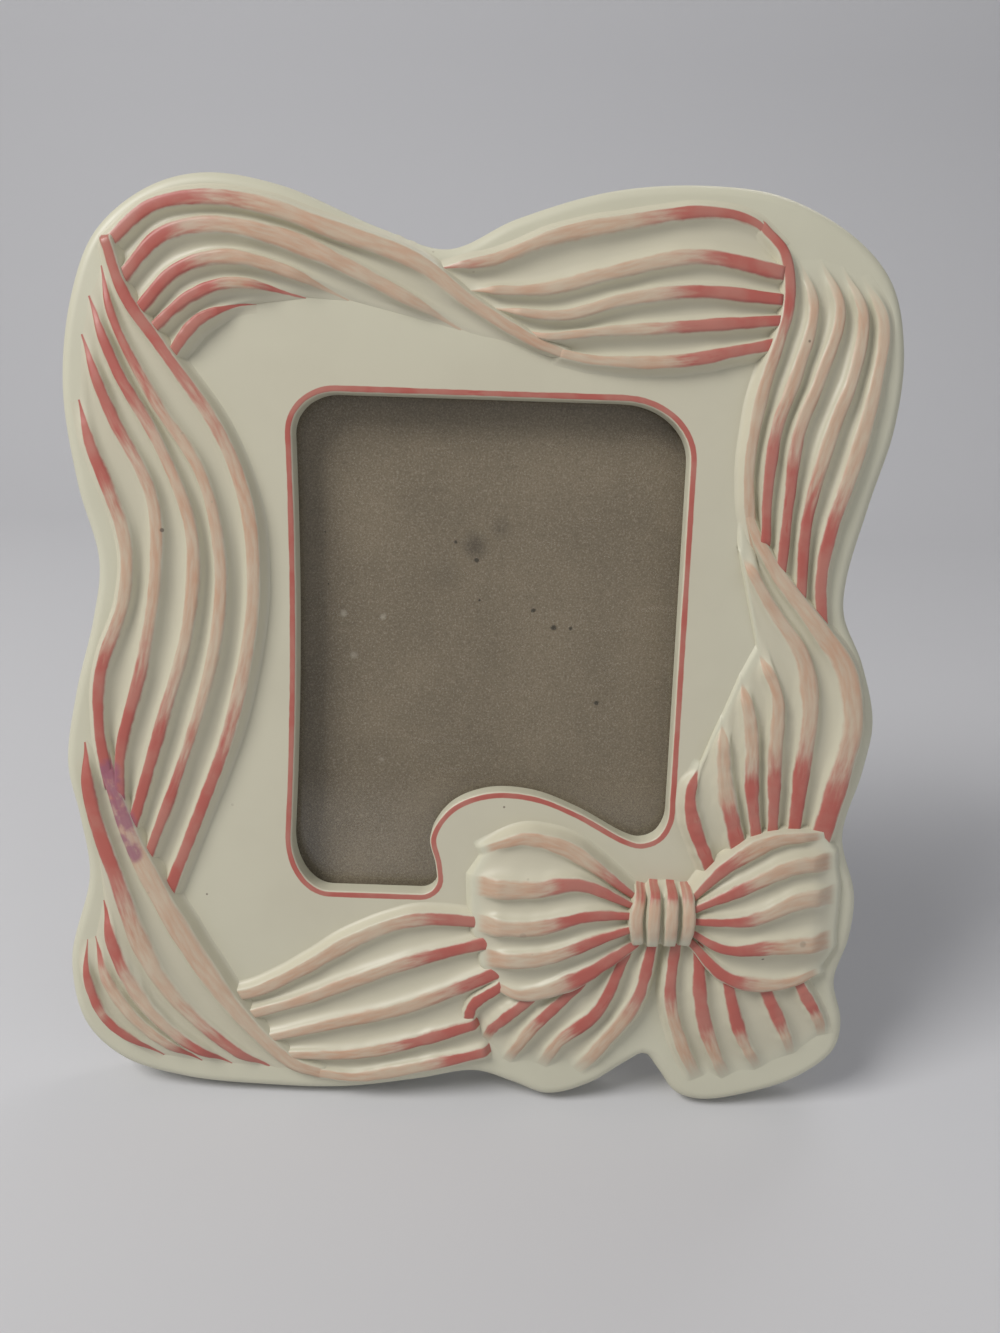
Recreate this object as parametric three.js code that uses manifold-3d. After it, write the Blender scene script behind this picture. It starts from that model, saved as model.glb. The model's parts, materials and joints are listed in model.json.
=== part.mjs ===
// Standing picture frame: a cast front with a striped ribbon and bow in relief round a glazed window,
// and a covered board with a hinged strut behind it, held in by four turn buttons. Millimetres, +Z up.
// The casting is drawn flat: x to the right, y up its face, z out of its face. The whole then leans back.

import * as THREE from "three";
import { mergeVertices } from "three/addons/utils/BufferGeometryUtils.js";
import Module from "manifold-3d";

const wasm = await Module();
wasm.setup();

// Casting
const FRAME_WIDTH = 174;
const FRAME_HEIGHT = 196;
const LIP_DEPTH = 4.6;
const EDGE_ROUND = 2.6;
const FOOT_FLAT = 0.6;
const LEAN = THREE.MathUtils.degToRad(13);

// Window, seen from the front, with a hump over the bow in its lower right corner
const WINDOW_WIDTH = 81.4;
const WINDOW_HEIGHT = 106;
const WINDOW_OFFSET = 3.3;
const WINDOW_SILL = 47.7;
const WINDOW_WAIST = 1;
const HUMP_WIDTH = 49.6;
const HUMP_HEIGHT = 23.6;
const HUMP_CORNER = 3.6;
const CORNERS = {
  lowerLeft: { across: 8.4, up: 12 },
  upperLeft: { across: 9, up: 8 },
  upperRight: { across: 14, up: 11.5 },
};

// Relief of the ribbon and the bow
const RIB_RISE = 0.9;
const RIB_FLANK = 0.6;
const RIB_SHARE = 0.34;
const RIB_TIP = 0.3;
const FLANK_SHARE = 0.4;
const FLUTE_DEPTH = 0.35;
const BAND_MARGIN = 1.5;
const BAND_ROOT = 1.6;
const BAND_FOOTING = 0.8;
const SHOULDER_OUT = 0.75;
const SHOULDER_UP = 0.6;

// What the rebate behind the window holds
const SIDE_LEDGE = 4.4;
const END_LEDGE = 11;
const REBATE_CORNER = 3;
const REBATE_PLAY = 0.5;
const FIT_GAP = 0.25;
const GLASS_THICKNESS = 2;
const INSERT_THICKNESS = 1.2;
const BACK_THICKNESS = 2.4;

// Turn buttons and their screws
const BUTTON_SETBACK = 7.5;
const BUTTON_SPACING = 66;
const BUTTON_HUB = 4.6;
const BUTTON_TIP = 3.2;
const BUTTON_REACH = 12.5;
const BUTTON_THICKNESS = 1;
const BUTTON_EDGE = 0.25;
const SCREW_HEAD = 2.9;
const SCREW_HEAD_HEIGHT = 1.7;
const SCREW_SHANK = 1.4;
const SCREW_LENGTH = 8;
const SCREW_POINT = 2.1;
const SCREW_PLAY = 0.3;
const SCREW_DOME = [[0, 1], [0.6, 0.9], [0.93, 0.45], [1, 0]];

// Strut, its hinge and its rivets
const HINGE_DROP = 34;
const STRUT_OPEN = THREE.MathUtils.degToRad(22);
const STRUT_TOP_WIDTH = 36;
const STRUT_FOOT_WIDTH = 50;
const STRUT_THICKNESS = 2.4;
const STRUT_SHOULDER = 4;
const STRUT_FOOT_SPARE = 7;
const LEAF_WIDTH = 28;
const LEAF_HEIGHT = 13;
const LEAF_THICKNESS = 0.8;
const LEAF_CORNER = 2;
const KNUCKLE_RADIUS = 1.9;
const KNUCKLE_SHARE = 0.42;
const STOP_HEIGHT = 5;
const PIN_RADIUS = 0.85;
const PIN_PLAY = 0.25;
const PIN_HEAD_HEIGHT = 0.7;
const PIN_HEAD = 1.4;
const PIN_HEAD_TIP = 1;
const RIVET_SPACING = 18;
const RIVET_HEAD = 2.5;
const RIVET_HEAD_HEIGHT = 1.1;
const RIVET_SHANK = 1.2;
const RIVET_TAIL = 2;
const RIVET_TAIL_HEIGHT = 0.6;
const RIVET_PLAY = 0.25;
const RIVET_DOME = [[0, 1], [0.62, 0.8], [1, 0]];

// Facets
const OUTLINE_STEPS = 132;
const ROUND_STEPS = 12;
const EDGE_STEPS = 2;
const CUT_OVERRUN = 1;
const WELD = 1e-4;

const FINISH = {
  cream: { color: 0xd9d5bf, roughness: 0.5, metalness: 0 },
  glass: { color: 0xdfe6e2, roughness: 0.05, metalness: 0 },
  chipboard: { color: 0x6f655a, roughness: 0.9, metalness: 0 },
  flock: { color: 0x2b2724, roughness: 0.95, metalness: 0 },
  steel: { color: 0xa9a69d, roughness: 0.35, metalness: 1 },
  brass: { color: 0xb0904e, roughness: 0.35, metalness: 1 },
};

// Scalloped outline, from the lower left round to the right, top and left, on the drawing sheet
const OUTLINE = [
  [-62, 1.5], [-43.8, 0.1], [-26, 0.2], [-9.2, 2.7], [4, 5.2], [12.5, 2.8], [20.5, 0.2], [30, 3],
  [38.5, 8.8], [42.2, 10.8], [45.6, 7], [49.8, 1.6], [55.5, 0], [65, 1.6], [77, 6.2], [85, 13.2],
  [86.2, 20], [83.8, 30], [86.2, 40], [86.6, 50], [82.8, 63.5], [85.9, 78], [87.1, 89], [83.7, 101.5],
  [79, 111.6], [78.8, 119], [82.2, 135], [85.9, 150], [86.5, 165], [83, 178.2], [74.9, 186.9],
  [60, 194.2], [45, 195.9], [26, 194.3], [7, 188.5], [-6.5, 182.4], [-20, 185.9], [-40, 193.4],
  [-55.5, 195.3], [-67, 192], [-77.3, 183.5], [-82.5, 171], [-84.8, 153], [-82.3, 133.5],
  [-78.4, 118], [-80, 105.8], [-84.2, 89.6], [-86.5, 74], [-84.2, 62], [-82.6, 49], [-87.2, 29],
  [-84.5, 14.2], [-76.2, 5.8],
];

// Shares of the hump's width and height, from its foot on the sill up, over and down to the right side
const HUMP = [
  [-0.01, 0.3], [-0.035, 0.55], [0.05, 0.84], [0.21, 0.99], [0.41, 0.98], [0.61, 0.83], [0.82, 0.6],
  [0.885, 0.565], [0.955, 0.62], [0.995, 0.77],
];

// Bands of the ribbon on the drawing sheet. Each rib is a centre line with its width at start, middle and
// end. Lift is the height of the flutes there, of the whole band or of one rib, and crown is how far the
// band's middle swells above its sides. Towards the ends of a band its ribs sink into it over the fade
// lengths and narrow over the point lengths, except those that stay whole.
const BANDS = [
  {
    part: "top right",
    steps: 9, lift: [0.5, 1.3, 0.9], crown: 0.5, fade: [0, 0], point: [7, 0],
    ribs: [
      { width: [1.6, 3, 2.4], lift: [0.5, 1.3, 0.3], line: [[-8, 178], [2.6, 179.8], [14.8, 184.5],
        [28.6, 187.5], [44.7, 190], [54.1, 188.4], [59.7, 183.7]] },
      { width: [1.6, 2.8, 2.6], line: [[-1.9, 174], [13.3, 174.5], [24.7, 177.5], [42.6, 181.4],
        [59.4, 179.1]] },
      { width: [1.4, 2.6, 2.2], line: [[2.6, 170.8], [16.4, 169.6], [29.2, 173], [42.9, 174.9],
        [59.4, 174]] },
      { width: [1.2, 2.2, 2.2], line: [[8, 167.5], [12.9, 165.7], [25.5, 166.9], [39.9, 168.1],
        [59.6, 170]] },
      { width: [1.6, 2.4, 2.2], whole: true, line: [[17.1, 162.5], [23.9, 161.4], [39.9, 161.6],
        [52.9, 164.2], [59.1, 165.6]] },
    ],
  },
  {
    part: "top left",
    steps: 10, lift: [0.6, 1.5, 0.2], crown: 0.5, fade: [0, 14], point: [0, 14],
    ribs: [
      { width: [2, 2.8, 1.8], lift: [0.6, 1.5, 0.7], whole: true, line: [[-73.8, 180.3], [-64.8, 187.6],
        [-54, 189.6], [-41.8, 188.2], [-29.6, 184.4], [-12.1, 178.7], [-1.4, 171.5], [11.1, 164.7],
        [17.1, 162.5]] },
      { width: [2.2, 3, 1.6], line: [[-71.5, 173.6], [-62.3, 182.3], [-52.3, 184.5], [-39.4, 182.5],
        [-27.3, 178], [-11.4, 170.6], [-2.3, 166]] },
      { width: [2.2, 2.4, 1.4], line: [[-68.4, 167], [-59.9, 175.6], [-50.7, 178.5], [-40.2, 176.9],
        [-25.2, 171.2]] },
      { width: [2, 2, 1.4], line: [[-65.8, 163.8], [-56.8, 171], [-48.5, 173.7], [-34, 171.6]] },
      { width: [2.2, 2.2, 1.4], line: [[-62.3, 158.7], [-55.5, 166.5], [-48.1, 169.7], [-44.1, 170.2]] },
    ],
  },
  {
    part: "right, upper",
    steps: 10, lift: [-0.1, 1.5, 0.6], crown: 0.5, fade: [12, 0], point: [10, 0],
    ribs: [
      { width: [2.2, 2.4, 1.8], lift: [0.3, 1.5, 0.2], whole: true, line: [[56.2, 187.3], [59.8, 183],
        [61.4, 176.6], [61.3, 171.6], [60.1, 166.5], [57.4, 155.9], [55.9, 143], [56.5, 134], [58.4, 126],
        [60.7, 119.1]] },
      { width: [1.6, 2.6, 2], line: [[63, 182.9], [66.4, 172.6], [63.8, 159.6], [60.8, 149.8], [59.8, 136.9],
        [60.3, 126.7]] },
      { width: [1.6, 2.6, 2], line: [[66.8, 183.3], [71.6, 172.6], [68.7, 159.6], [65.2, 148.8], [64.2, 135],
        [63.9, 120.6]] },
      { width: [1.6, 2.8, 2], line: [[71.2, 182.3], [76.3, 171.6], [75.2, 159.7], [72.1, 149.8], [68.2, 131],
        [68.5, 114.6]] },
      { width: [1.6, 3, 2.2], line: [[75.3, 180.4], [80.5, 170.7], [79.8, 157.7], [77, 143.4], [73.1, 128],
        [72.3, 119.1], [73.6, 108.4]] },
    ],
  },
  {
    part: "left",
    steps: 12, lift: [-0.1, 1.5, 0.6], crown: 0.5, fade: [12, 0], point: [12, 0],
    ribs: [
      { width: [2, 2.8, 2.4], lift: [1.4, 1.5, 0.6], whole: true, line: [[-73.7, 181], [-70.3, 171.1],
        [-63, 160.9], [-51.6, 144.8], [-46.2, 130.4], [-44.9, 115.2], [-46.3, 100.8], [-50.6, 82.4],
        [-57.9, 62.6], [-65.4, 43.2]] },
      { width: [1.6, 2.6, 2], line: [[-75.8, 178.5], [-72.9, 166.6], [-64.6, 150.6], [-55.4, 136.4],
        [-51.6, 118.2], [-53.4, 99.2], [-60.4, 75.7], [-69.2, 52.2]] },
      { width: [2, 2.6, 2.4], line: [[-78.7, 172.4], [-72.3, 156.7], [-63.7, 141.8], [-57.5, 125.1],
        [-58.3, 106.2], [-64.5, 84.1], [-71.8, 60.2]] },
      { width: [2, 2.6, 2.2], line: [[-80.3, 164.8], [-73.8, 148.3], [-65.6, 131.9], [-65, 116.2],
        [-68.6, 95.5], [-73.3, 78.7], [-74, 66.6]] },
      { width: [2.2, 2.6, 2.2], line: [[-81.1, 151.9], [-78.4, 142.2], [-71.4, 122.8], [-71.8, 110.6],
        [-77.2, 94.6], [-77.9, 83.2], [-76.3, 70.4]] },
    ],
  },
  {
    part: "right, lower",
    steps: 10, lift: [0.7, 1.7, 0.8], crown: 0.5, fade: [9, 0], point: [9, 0],
    ribs: [
      { width: [1, 3.4, 3.8], lift: [-0.6, 2.2, 0.8], whole: true, line: [[56.4, 141], [56.3, 134],
        [57.6, 129.2], [63.1, 120.1], [72, 109.5], [78.7, 100.5], [81.2, 89.1], [79.3, 76.9], [77, 64.8]] },
      { width: [1.6, 3.2, 2.8], lift: [1.1, 1.7, 0.8], line: [[55.8, 123.6], [62.2, 113.3], [69.7, 102.7],
        [72, 91.4], [71.4, 79.2], [70.9, 66.1]] },
      { width: [1.6, 2.6, 2.2], line: [[60.9, 103.4], [65, 94.3], [65.3, 82.2], [66.3, 65.2]] },
      { width: [1.6, 2.6, 2.2], line: [[57.7, 97.3], [60, 86.8], [61, 73.9], [63, 63.2]] },
      { width: [1.6, 3, 3.2], line: [[54.1, 88.1], [55.3, 75.4], [59.5, 60.2]] },
      { width: [1.6, 3, 2.6], line: [[49.7, 78.1], [48.2, 73], [49, 67], [53.6, 56.1]] },
    ],
  },
  {
    part: "bottom",
    steps: 8, lift: [0.5, 1.4, 0.9], crown: 0.5, fade: [0, 0], point: [0, 0],
    ribs: [
      { width: [2.2, 3.2, 2.6], line: [[-52, 22.3], [-44.2, 24.7], [-34.2, 30.3], [-22, 38],
        [-9.8, 42.5], [4, 42.2]] },
      { width: [2, 2.8, 2.6], line: [[-47.5, 18.5], [-34.1, 23.2], [-22.7, 28.2], [-9, 33.6],
        [5.5, 37.6]] },
      { width: [1.8, 2.8, 2.8], line: [[-42.9, 13.2], [-28.1, 17.6], [-12.8, 21.9], [7, 30.4]] },
      { width: [1.6, 2.6, 2.4], line: [[-38.1, 9.5], [-22.7, 10.7], [-9, 14.2], [3, 18.1]] },
      { width: [1.8, 2.6, 2.2], line: [[-30.7, 5.1], [-22.8, 4.8], [-9, 7.8], [5.5, 11.5]] },
    ],
  },
  {
    part: "lower left",
    steps: 9, lift: [-0.1, 1.9, -0.1], crown: 0.6, fade: [10, 9], point: [10, 9],
    ribs: [
      { width: [2.2, 4.8, 2.2], lift: [0.3, 2.1, 0.5], whole: true, line: [[-78.1, 81.3], [-76.2, 72.4],
        [-70.5, 56.2], [-61.4, 38.8], [-50.1, 21.3], [-41.2, 11.1], [-36.3, 7.1], [-30.7, 5.1]] },
      { width: [2.2, 4, 1.8], line: [[-82, 80.3], [-80, 66.2], [-74.4, 48.8], [-69, 33.1], [-62.5, 22.4],
        [-49.5, 10], [-41.6, 5.2]] },
      { width: [2, 3, 1.6], line: [[-79, 44.4], [-75.7, 32.9], [-70.2, 22.6], [-62.1, 13.6],
        [-50.4, 5.7]] },
      { width: [1.8, 2.6, 1.6], line: [[-81.1, 35.8], [-77.6, 26.1], [-70.3, 16.4], [-57.3, 6.2]] },
      { width: [1.6, 2, 1.4], line: [[-82.7, 35], [-82.5, 28.1], [-78.3, 17.4], [-65.9, 7.3]] },
    ],
  },
  {
    part: "left tail",
    steps: 5, lift: [1.8, 1.7, -0.25], crown: 0.4, fade: [0, 7], point: [0, 0],
    ribs: [
      { width: [2.2, 2.4, 2.2], lift: [1.8, 1.6, 0.5], whole: true, line: [[9, 27.9], [3.2, 23.1],
        [2.1, 18.5]] },
      { width: [2.2, 2.6, 2], line: [[15.9, 25.6], [7.8, 17.8], [5.9, 13.2]] },
      { width: [2.2, 2.6, 2], line: [[26.7, 29.5], [16.2, 18], [10.5, 8.2]] },
      { width: [2.2, 3, 2.2], line: [[36.1, 36.4], [30.5, 22.8], [22.3, 14.7], [18.5, 7.1]] },
      { width: [2.2, 3.2, 2.4], line: [[42, 39.7], [39, 25.6], [31.5, 13.7], [26.2, 6.2]] },
    ],
  },
  {
    part: "right tail",
    steps: 5, lift: [1.8, 1.8, -0.25], crown: 0.4, fade: [0, 7], point: [0, 0],
    ribs: [
      { width: [2.2, 2.6, 2.8], line: [[47, 40.7], [46.5, 26.5], [49.8, 15.4], [54.8, 5.2]] },
      { width: [2.2, 3.2, 2.4], line: [[51.8, 39.4], [53.7, 23.5], [58.1, 11.5], [61.4, 6]] },
      { width: [2, 2.6, 2], line: [[57.7, 34.5], [62.4, 18.9], [68.3, 8.3]] },
      { width: [2, 2.8, 1.8], line: [[65.6, 32.5], [72.9, 17.7], [75.2, 12]] },
      { width: [2, 2.6, 1.8], line: [[73.1, 33.3], [80.4, 20.7], [81.5, 16.9]] },
    ],
  },
  {
    part: "left loop",
    steps: 6, lift: [2, 3.6, 2.6], crown: 1.6, fade: [6, 0], point: [0, 0],
    ribs: [
      { width: [1.6, 3.6, 1.4], lift: [1.6, 3.4, 2.6], line: [[3.6, 58.6], [8.4, 61], [13.6, 62.1],
        [22.2, 60.3], [38.1, 49.4]] },
      { width: [4.4, 3.4, 1.4], line: [[2.6, 50.8], [15.3, 51.4], [25, 53], [37.9, 47.9]] },
      { width: [4, 3.2, 1.4], line: [[3.1, 42.4], [16, 43], [27.2, 46.1], [37.8, 46.2]] },
      { width: [3.8, 3, 1.4], line: [[5, 34.3], [18.3, 36.1], [29.6, 40.6], [37.9, 43.6]] },
      { width: [1.4, 4, 1.8], line: [[7, 28.4], [13.9, 26.6], [24.4, 30.4], [38.1, 39.2]] },
    ],
  },
  {
    part: "right loop",
    steps: 6, lift: [2, 3.6, 2.6], crown: 1.6, fade: [6, 0], point: [0, 0],
    ribs: [
      { width: [1.4, 3.6, 1.4], line: [[77.2, 64.6], [65.9, 63.4], [56, 57], [49.9, 49.9]] },
      { width: [3.8, 3, 1.4], line: [[79.9, 59.1], [70.5, 58.3], [59.4, 52.8], [49.6, 47.7]] },
      { width: [4.4, 3, 1.4], line: [[81, 51.6], [73, 51.2], [61.9, 46.4], [49.5, 45.4]] },
      { width: [4.4, 3, 1.4], line: [[81.1, 41.4], [67.3, 40.3], [57.1, 39.5], [49.6, 42.9]] },
      { width: [1.4, 3.4, 1.6], line: [[78.8, 33.8], [69.6, 31.2], [58.3, 32.6], [49.9, 40.2]] },
    ],
  },
  {
    part: "knot",
    steps: 3, lift: [3.8, 5.6, 3.8], crown: 0.8, fade: [0, 0], point: [0, 0],
    ribs: [
      { width: [2.4, 2.6, 2.4], line: [[38.5, 50.1], [37.6, 45.8], [38.5, 39.9]] },
      { width: [2.4, 2.6, 2.4], line: [[41.5, 50.8], [41.2, 46.1], [41.5, 39.9]] },
      { width: [2.4, 2.6, 2.4], line: [[45.2, 50.8], [45, 46.1], [45.2, 40.1]] },
      { width: [2.4, 2.6, 2.4], line: [[48.6, 50.5], [48.8, 45.8], [48.4, 40.1]] },
    ],
  },
];

// Sizes that follow from the ones above
const paneWidth = WINDOW_WIDTH + 2 * SIDE_LEDGE;
const paneHeight = WINDOW_HEIGHT + 2 * END_LEDGE;
const paneCentre = new THREE.Vector2(WINDOW_OFFSET, WINDOW_SILL + WINDOW_HEIGHT / 2);
const glassFront = -LIP_DEPTH - FIT_GAP;
const insertFront = glassFront - GLASS_THICKNESS - FIT_GAP;
const backFront = insertFront - INSERT_THICKNESS - FIT_GAP;
const backRear = backFront - BACK_THICKNESS;
const castingRear = backRear - FIT_GAP;
const floorLevel = castingRear * Math.sin(LEAN) + FOOT_FLAT;
const leafFront = backRear - FIT_GAP;
const leafRear = leafFront - LEAF_THICKNESS;
const hingeHeight = paneCentre.y + paneHeight / 2 - HINGE_DROP;
const hinge = new THREE.Vector3(paneCentre.x, hingeHeight, leafFront - KNUCKLE_RADIUS);
const knuckleLength = LEAF_WIDTH * KNUCKLE_SHARE;
const pinBore = PIN_RADIUS + PIN_PLAY;

// The drawing sheet follows the size of the frame: its own outline gives the scale each way.
const sheet = new THREE.Box2().setFromPoints(OUTLINE.map(([x, y]) => new THREE.Vector2(x, y)));
const sheetScale = new THREE.Vector2(FRAME_WIDTH, FRAME_HEIGHT).divide(sheet.getSize(new THREE.Vector2()));

function onSheet([x, y]) {
  return new THREE.Vector3(x * sheetScale.x, y * sheetScale.y, 0);
}

// A closed geometry as a solid that can be joined and cut
function solid(geometry) {
  const bare = new THREE.BufferGeometry();
  bare.setAttribute("position", geometry.getAttribute("position"));
  bare.setIndex(geometry.index);
  const merged = mergeVertices(bare, WELD);
  const vertProperties = merged.getAttribute("position").array;
  const triVerts = Uint32Array.from(merged.index.array);
  return new wasm.Manifold(new wasm.Mesh({ numProp: 3, vertProperties, triVerts }));
}

function joined(solids) {
  return solids.reduce((whole, piece) => whole.add(piece));
}

function toGeometry(body) {
  const mesh = body.getMesh();
  const geometry = new THREE.BufferGeometry();
  geometry.setAttribute("position", new THREE.BufferAttribute(mesh.vertProperties, 3));
  geometry.setIndex(new THREE.BufferAttribute(mesh.triVerts, 1));
  geometry.computeVertexNormals();
  return geometry;
}

// A flat sheet between two heights, cut to a shape
function plate(shape, lower, upper) {
  const options = { depth: upper - lower, bevelEnabled: false, curveSegments: ROUND_STEPS / 2 };
  return new THREE.ExtrudeGeometry(shape, options).translate(0, 0, lower);
}

function roundedRectangle(width, height, corner) {
  const x = width / 2;
  const y = height / 2;
  const shape = new THREE.Shape();
  shape.moveTo(-x + corner, -y);
  shape.lineTo(x - corner, -y).absarc(x - corner, -y + corner, corner, -Math.PI / 2, 0);
  shape.lineTo(x, y - corner).absarc(x - corner, y - corner, corner, 0, Math.PI / 2);
  shape.lineTo(-x + corner, y).absarc(-x + corner, y - corner, corner, Math.PI / 2, Math.PI);
  shape.lineTo(-x, -y + corner).absarc(-x + corner, -y + corner, corner, Math.PI, 1.5 * Math.PI);
  return shape;
}

// A round bar along z between two heights
function bar(radius, lower, upper) {
  const geometry = new THREE.CylinderGeometry(radius, radius, upper - lower, ROUND_STEPS);
  return geometry.rotateX(Math.PI / 2).translate(0, 0, (lower + upper) / 2);
}

// A profile of [radius, height] pairs turned about z
function turned(profile) {
  const points = profile.map(([radius, height]) => new THREE.Vector2(radius, height));
  return new THREE.LatheGeometry(points, ROUND_STEPS).rotateX(Math.PI / 2);
}

// A value given at the start, middle and end of a run
function along([start, middle, end], share) {
  const half = share * 2;
  return half < 1 ? start + (middle - start) * half : middle + (end - middle) * (half - 1);
}

// A height that swells smoothly through its values at the start, middle and end of a run
function swollen([start, middle, end], share) {
  const rest = 1 - share;
  return start * rest * (rest - share) + middle * 4 * share * rest + end * share * (share - rest);
}

// Grows from nothing at the ends of a run to one inside it, over a length at its start and at its end
function grown([start, end], share, length) {
  const rise = (distance, over) => (over > 0 ? THREE.MathUtils.smoothstep(distance, 0, over) : 1);
  return rise(share * length, start) * rise((1 - share) * length, end);
}

// One station of a rib: its middle, its direction across, half its width and the width of its flanks where
// neighbours leave room, and how much of its relief it has
function ribStation(band, curves, index, share) {
  const rib = band.ribs[index];
  const middle = curves[index].getPointAt(share);
  const tangent = curves[index].getTangentAt(share);
  const across = new THREE.Vector3(-tangent.y, tangent.x, 0);
  const neighbours = [curves[index - 1], curves[index + 1]].filter(Boolean);
  const reaches = neighbours.map((curve) => curve.getPointAt(share).sub(middle).dot(across));
  const room = Math.min(...reaches.map(Math.abs));
  const side = index === 0 ? -Math.sign(reaches[0]) : Math.sign(reaches[0]);
  const length = curves[index].getLength();
  const taper = rib.whole ? 1 : THREE.MathUtils.lerp(RIB_TIP, 1, grown(band.point, share, length));
  const half = taper * Math.min(along(rib.width, share) / 2, room * RIB_SHARE);
  const flank = Math.min(RIB_FLANK, half, FLANK_SHARE * (room - 2 * half));
  const relief = (rib.whole ? 1 : grown(band.fade, share, length)) * (flank / RIB_FLANK);
  return { middle, across: across.multiplyScalar(side), half, flank, relief };
}

// One row of points across a band: down its near side, over each rib and flute, and down its far side
function bandRow(band, curves, share) {
  const last = band.ribs.length - 1;
  const row = [];
  band.ribs.forEach((rib, index) => {
    const { middle, across, half, flank, relief } = ribStation(band, curves, index, share);
    const crown = band.crown * (1 - (2 * (index / last) - 1) ** 2);
    const swell = swollen(rib.lift ?? band.lift, share) + crown * relief;
    const crest = swell + RIB_RISE * relief;
    const flute = swell - FLUTE_DEPTH * relief;
    const edge = (offset, height) => middle.clone().addScaledVector(across, offset).setZ(height);
    const side = half + BAND_MARGIN;
    const shoulder = half + BAND_MARGIN * SHOULDER_OUT;
    if (index === 0) {
      row.push(edge(side, -BAND_ROOT), edge(shoulder, swell * SHOULDER_UP));
    }
    row.push(edge(half + flank, flute), edge(half, crest));
    row.push(edge(-half, crest), edge(-half - flank, flute));
    if (index === last) {
      row.push(edge(-shoulder, swell * SHOULDER_UP), edge(-side, -BAND_ROOT));
    }
  });
  return row;
}

// A band is lofted through its rows, with rounded ends that run down into the face of the casting.
function bandSolid(band) {
  const curves = band.ribs.map(({ line }) => new THREE.CatmullRomCurve3(line.map(onSheet)));
  const rows = [];
  for (let step = 0; step <= band.steps; step += 1) {
    rows.push(bandRow(band, curves, step / band.steps));
  }
  const beyond = (row, inner, reach, heightOf) =>
    row.map((point, index) => {
      const outward = point.clone().sub(inner[index]).setZ(0).normalize();
      return point.clone().addScaledVector(outward, reach).setZ(heightOf(point));
    });
  const sunk = () => -BAND_ROOT;
  const lowered = (point) => Math.max(point.z * SHOULDER_UP, -BAND_ROOT);
  const ending = (row, inner) => ({
    shoulder: beyond(row, inner, BAND_MARGIN * SHOULDER_OUT, lowered),
    root: beyond(row, inner, BAND_MARGIN, sunk),
  });
  const head = ending(rows[0], rows[1]);
  const foot = ending(rows.at(-1), rows.at(-2));
  return lofted([head.root, head.shoulder, ...rows, foot.shoulder, foot.root], -BAND_ROOT - BAND_FOOTING);
}

// A closed solid between a grid of points and a flat underside at one height
function lofted(rows, underside) {
  const count = rows[0].length;
  const top = rows.flat();
  const points = [...top, ...top.map((point) => point.clone().setZ(underside))];
  const faces = [];
  const quad = (a, b, c, d) => faces.push(a, b, c, a, c, d);
  const at = (row, column) => row * count + column;
  const below = top.length;
  for (let row = 0; row < rows.length - 1; row += 1) {
    for (let column = 0; column < count - 1; column += 1) {
      const corners = [at(row, column), at(row, column + 1), at(row + 1, column + 1), at(row + 1, column)];
      quad(...corners);
      quad(...corners.map((corner) => corner + below).reverse());
    }
    const far = count - 1;
    quad(at(row + 1, 0), at(row + 1, 0) + below, at(row, 0) + below, at(row, 0));
    quad(at(row, far), at(row, far) + below, at(row + 1, far) + below, at(row + 1, far));
  }
  const end = rows.length - 1;
  for (let column = 0; column < count - 1; column += 1) {
    quad(at(0, column), at(0, column) + below, at(0, column + 1) + below, at(0, column + 1));
    quad(at(end, column + 1), at(end, column + 1) + below, at(end, column) + below, at(end, column));
  }
  const geometry = new THREE.BufferGeometry().setFromPoints(points);
  geometry.setIndex(faces);
  const body = solid(geometry);
  return body.volume() < 0 ? solid(geometry.setIndex(faces.reverse())) : body;
}

// The window's outline, from the lower left corner along the sill and over the hump
function windowShape() {
  const left = WINDOW_OFFSET - WINDOW_WIDTH / 2;
  const right = WINDOW_OFFSET + WINDOW_WIDTH / 2;
  const top = WINDOW_SILL + WINDOW_HEIGHT;
  const foot = right - HUMP_WIDTH;
  const { lowerLeft, upperLeft, upperRight } = CORNERS;
  const quarter = Math.PI / 2;
  const onHump = ([x, y]) => new THREE.Vector2(foot + x * HUMP_WIDTH, WINDOW_SILL + y * HUMP_HEIGHT);
  const shape = new THREE.Shape();
  shape.moveTo(left + lowerLeft.across, WINDOW_SILL);
  shape.lineTo(foot - HUMP_CORNER, WINDOW_SILL);
  shape.absarc(foot - HUMP_CORNER, WINDOW_SILL + HUMP_CORNER, HUMP_CORNER, -quarter, 0);
  shape.splineThru([...HUMP, [1, 1]].map(onHump));
  const round = ({ across, up }, x, y, from) => {
    shape.absellipse(x, y, across, up, from, from + quarter);
  };
  shape.lineTo(right, top - upperRight.up);
  round(upperRight, right - upperRight.across, top - upperRight.up, 0);
  shape.lineTo(left + upperLeft.across, top);
  round(upperLeft, left + upperLeft.across, top - upperLeft.up, quarter);
  const waist = (WINDOW_SILL + lowerLeft.up + top - upperLeft.up) / 2;
  shape.quadraticCurveTo(left + 2 * WINDOW_WAIST, waist, left, WINDOW_SILL + lowerLeft.up);
  round(lowerLeft, left + lowerLeft.across, WINDOW_SILL + lowerLeft.up, Math.PI);
  return shape;
}

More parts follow.
